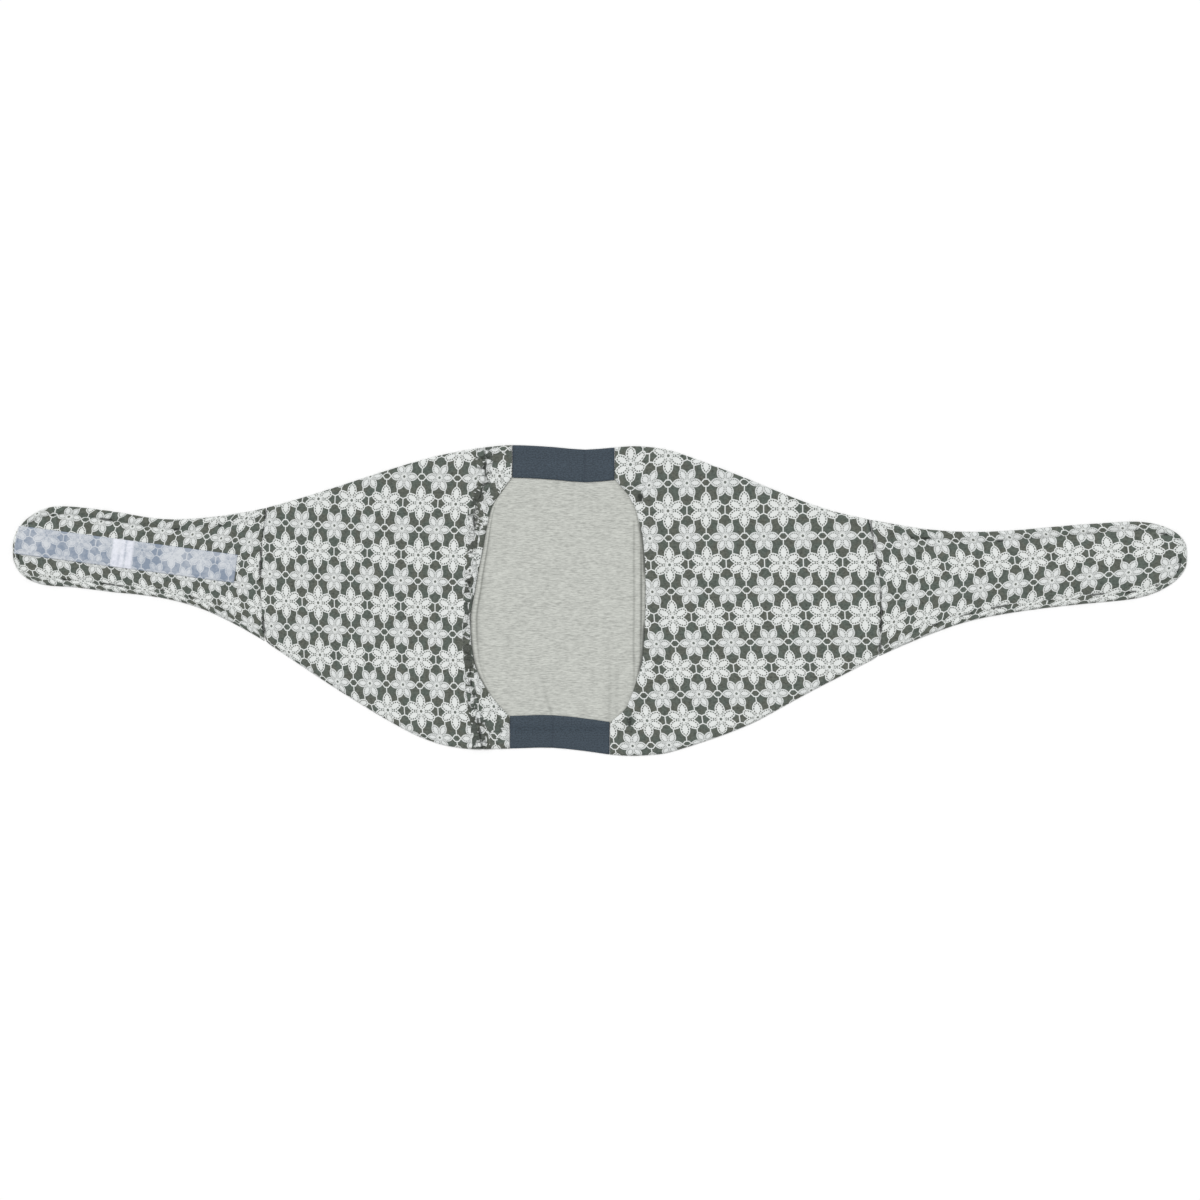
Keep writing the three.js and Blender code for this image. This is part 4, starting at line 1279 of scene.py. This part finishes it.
class BELT_OT_panels(bpy.types.Operator):
    """Make both wings' broad panels"""

    bl_idname = "belt.panels"
    bl_label = "Wing panels"

    def execute(self, context):
        for node in ("left_panel", "right_panel"):
            dress(make_panel(node), node, *cloth_materials())
        return {"FINISHED"}


class BELT_OT_jersey(bpy.types.Operator):
    """Make the jersey panel over the belly"""

    bl_idname = "belt.jersey"
    bl_label = "Jersey panel"

    def execute(self, context):
        tone = colour_of("jersey")
        light = tuple(min(1.0, c * 1.2) for c in tone)
        cloth = jersey_cloth("heathered_jersey", light, tone, tuple(c * 0.7 for c in tone))
        dress(make_jersey(), "belly_panel", cloth, cloth)
        return {"FINISHED"}


class BELT_OT_bands(bpy.types.Operator):
    """Make both elastic bands"""

    bl_idname = "belt.bands"
    bl_label = "Elastic bands"

    def execute(self, context):
        tone = colour_of("elastic")
        elastic = ribbed_elastic("woven_elastic", tone, tuple(c * 0.6 for c in tone))
        for node in ("upper_elastic", "lower_elastic"):
            dress(make_band(node), node, elastic, elastic)
        return {"FINISHED"}


class BELT_OT_tapes(bpy.types.Operator):
    """Make the hook tape and the loop patch"""

    bl_idname = "belt.tapes"
    bl_label = "Hook and loop tape"

    def execute(self, context):
        tape = hook_tape("clear_tape", colour_of("tape"))
        dress(make_hook_strip(), "hook_strip", tape, tape)
        nap = loop_tape("napped_tape", NAP, NAP_SHADE)
        dress(make_loop_patch(), "loop_patch", nap, nap)
        return {"FINISHED"}


class BELT_OT_stage(bpy.types.Operator):
    """Make the floor, the light and the camera"""

    bl_idname = "belt.stage"
    bl_label = "Stage"

    def execute(self, context):
        studio = context.scene.belt_studio
        bm = bmesh.new()
        bmesh.ops.create_grid(bm, x_segments=1, y_segments=1, size=FLOOR_REACH)
        mesh = bpy.data.meshes.new("floor")
        bm.to_mesh(mesh)
        bm.free()
        floor_paint = bpy.data.materials.new("floor")
        floor_paint.use_nodes = True
        shader = floor_paint.node_tree.nodes["Principled BSDF"]
        shader.inputs["Base Color"].default_value = (FLOOR_WHITE, FLOOR_WHITE, FLOOR_WHITE, 1)
        shader.inputs["Roughness"].default_value = 0.9
        shader.inputs["Specular IOR Level"].default_value = 0.0
        mesh.materials.append(floor_paint)
        floor = placed("floor", mesh)

        world = bpy.data.worlds.new("studio")
        world.use_nodes = True
        sky = world.node_tree.nodes["Background"]
        sky.inputs["Color"].default_value = (1, 1, 1, 1)
        sky.inputs["Strength"].default_value = studio.sky
        context.scene.world = world

        lamp = bpy.data.lights.new("key", "SUN")
        lamp.energy, lamp.angle = studio.key, KEY_SPREAD
        placed("key", lamp).rotation_euler = KEY_TURN

        lens = bpy.data.cameras.new("camera")
        lens.sensor_width = SENSOR
        lens.lens = SENSOR * studio.distance / studio.framed
        camera = placed("camera", lens)
        camera.location = (0, CAMERA_SHIFT, studio.distance)
        context.scene.camera = camera
        context.scene.view_settings.view_transform = "Standard"
        context.scene.view_settings.look = "None"
        return {"FINISHED"}


OPERATORS = (
    BELT_OT_stage,
    BELT_OT_tapes,
    BELT_OT_tails,
    BELT_OT_jersey,
    BELT_OT_bands,
    BELT_OT_panels,
)


class BELT_PT_panel(bpy.types.Panel):
    """The belt's pieces, one button each"""

    bl_label = "Support belt"
    bl_idname = "BELT_PT_panel"
    bl_space_type = "VIEW_3D"
    bl_region_type = "UI"
    bl_category = "Belt"

    def draw(self, context):
        for group in (context.scene.belt_colours, context.scene.belt_studio):
            for name in group.__annotations__:
                self.layout.prop(group, name)
        for operator in OPERATORS:
            self.layout.operator(operator.bl_idname)


CLASSES = (BeltColours, BeltStudio, *OPERATORS, BELT_PT_panel)


def register():
    for cls in CLASSES:
        bpy.utils.register_class(cls)
    bpy.types.Scene.belt_colours = PointerProperty(type=BeltColours)
    bpy.types.Scene.belt_studio = PointerProperty(type=BeltStudio)


def unregister():
    del bpy.types.Scene.belt_colours
    del bpy.types.Scene.belt_studio
    for cls in reversed(CLASSES):
        bpy.utils.unregister_class(cls)


def main():
    register()
    bpy.ops.belt.stage()
    bpy.ops.belt.tapes()
    bpy.ops.belt.tails()
    bpy.ops.belt.jersey()
    bpy.ops.belt.bands()
    bpy.ops.belt.panels()


if __name__ == "__main__":
    main()
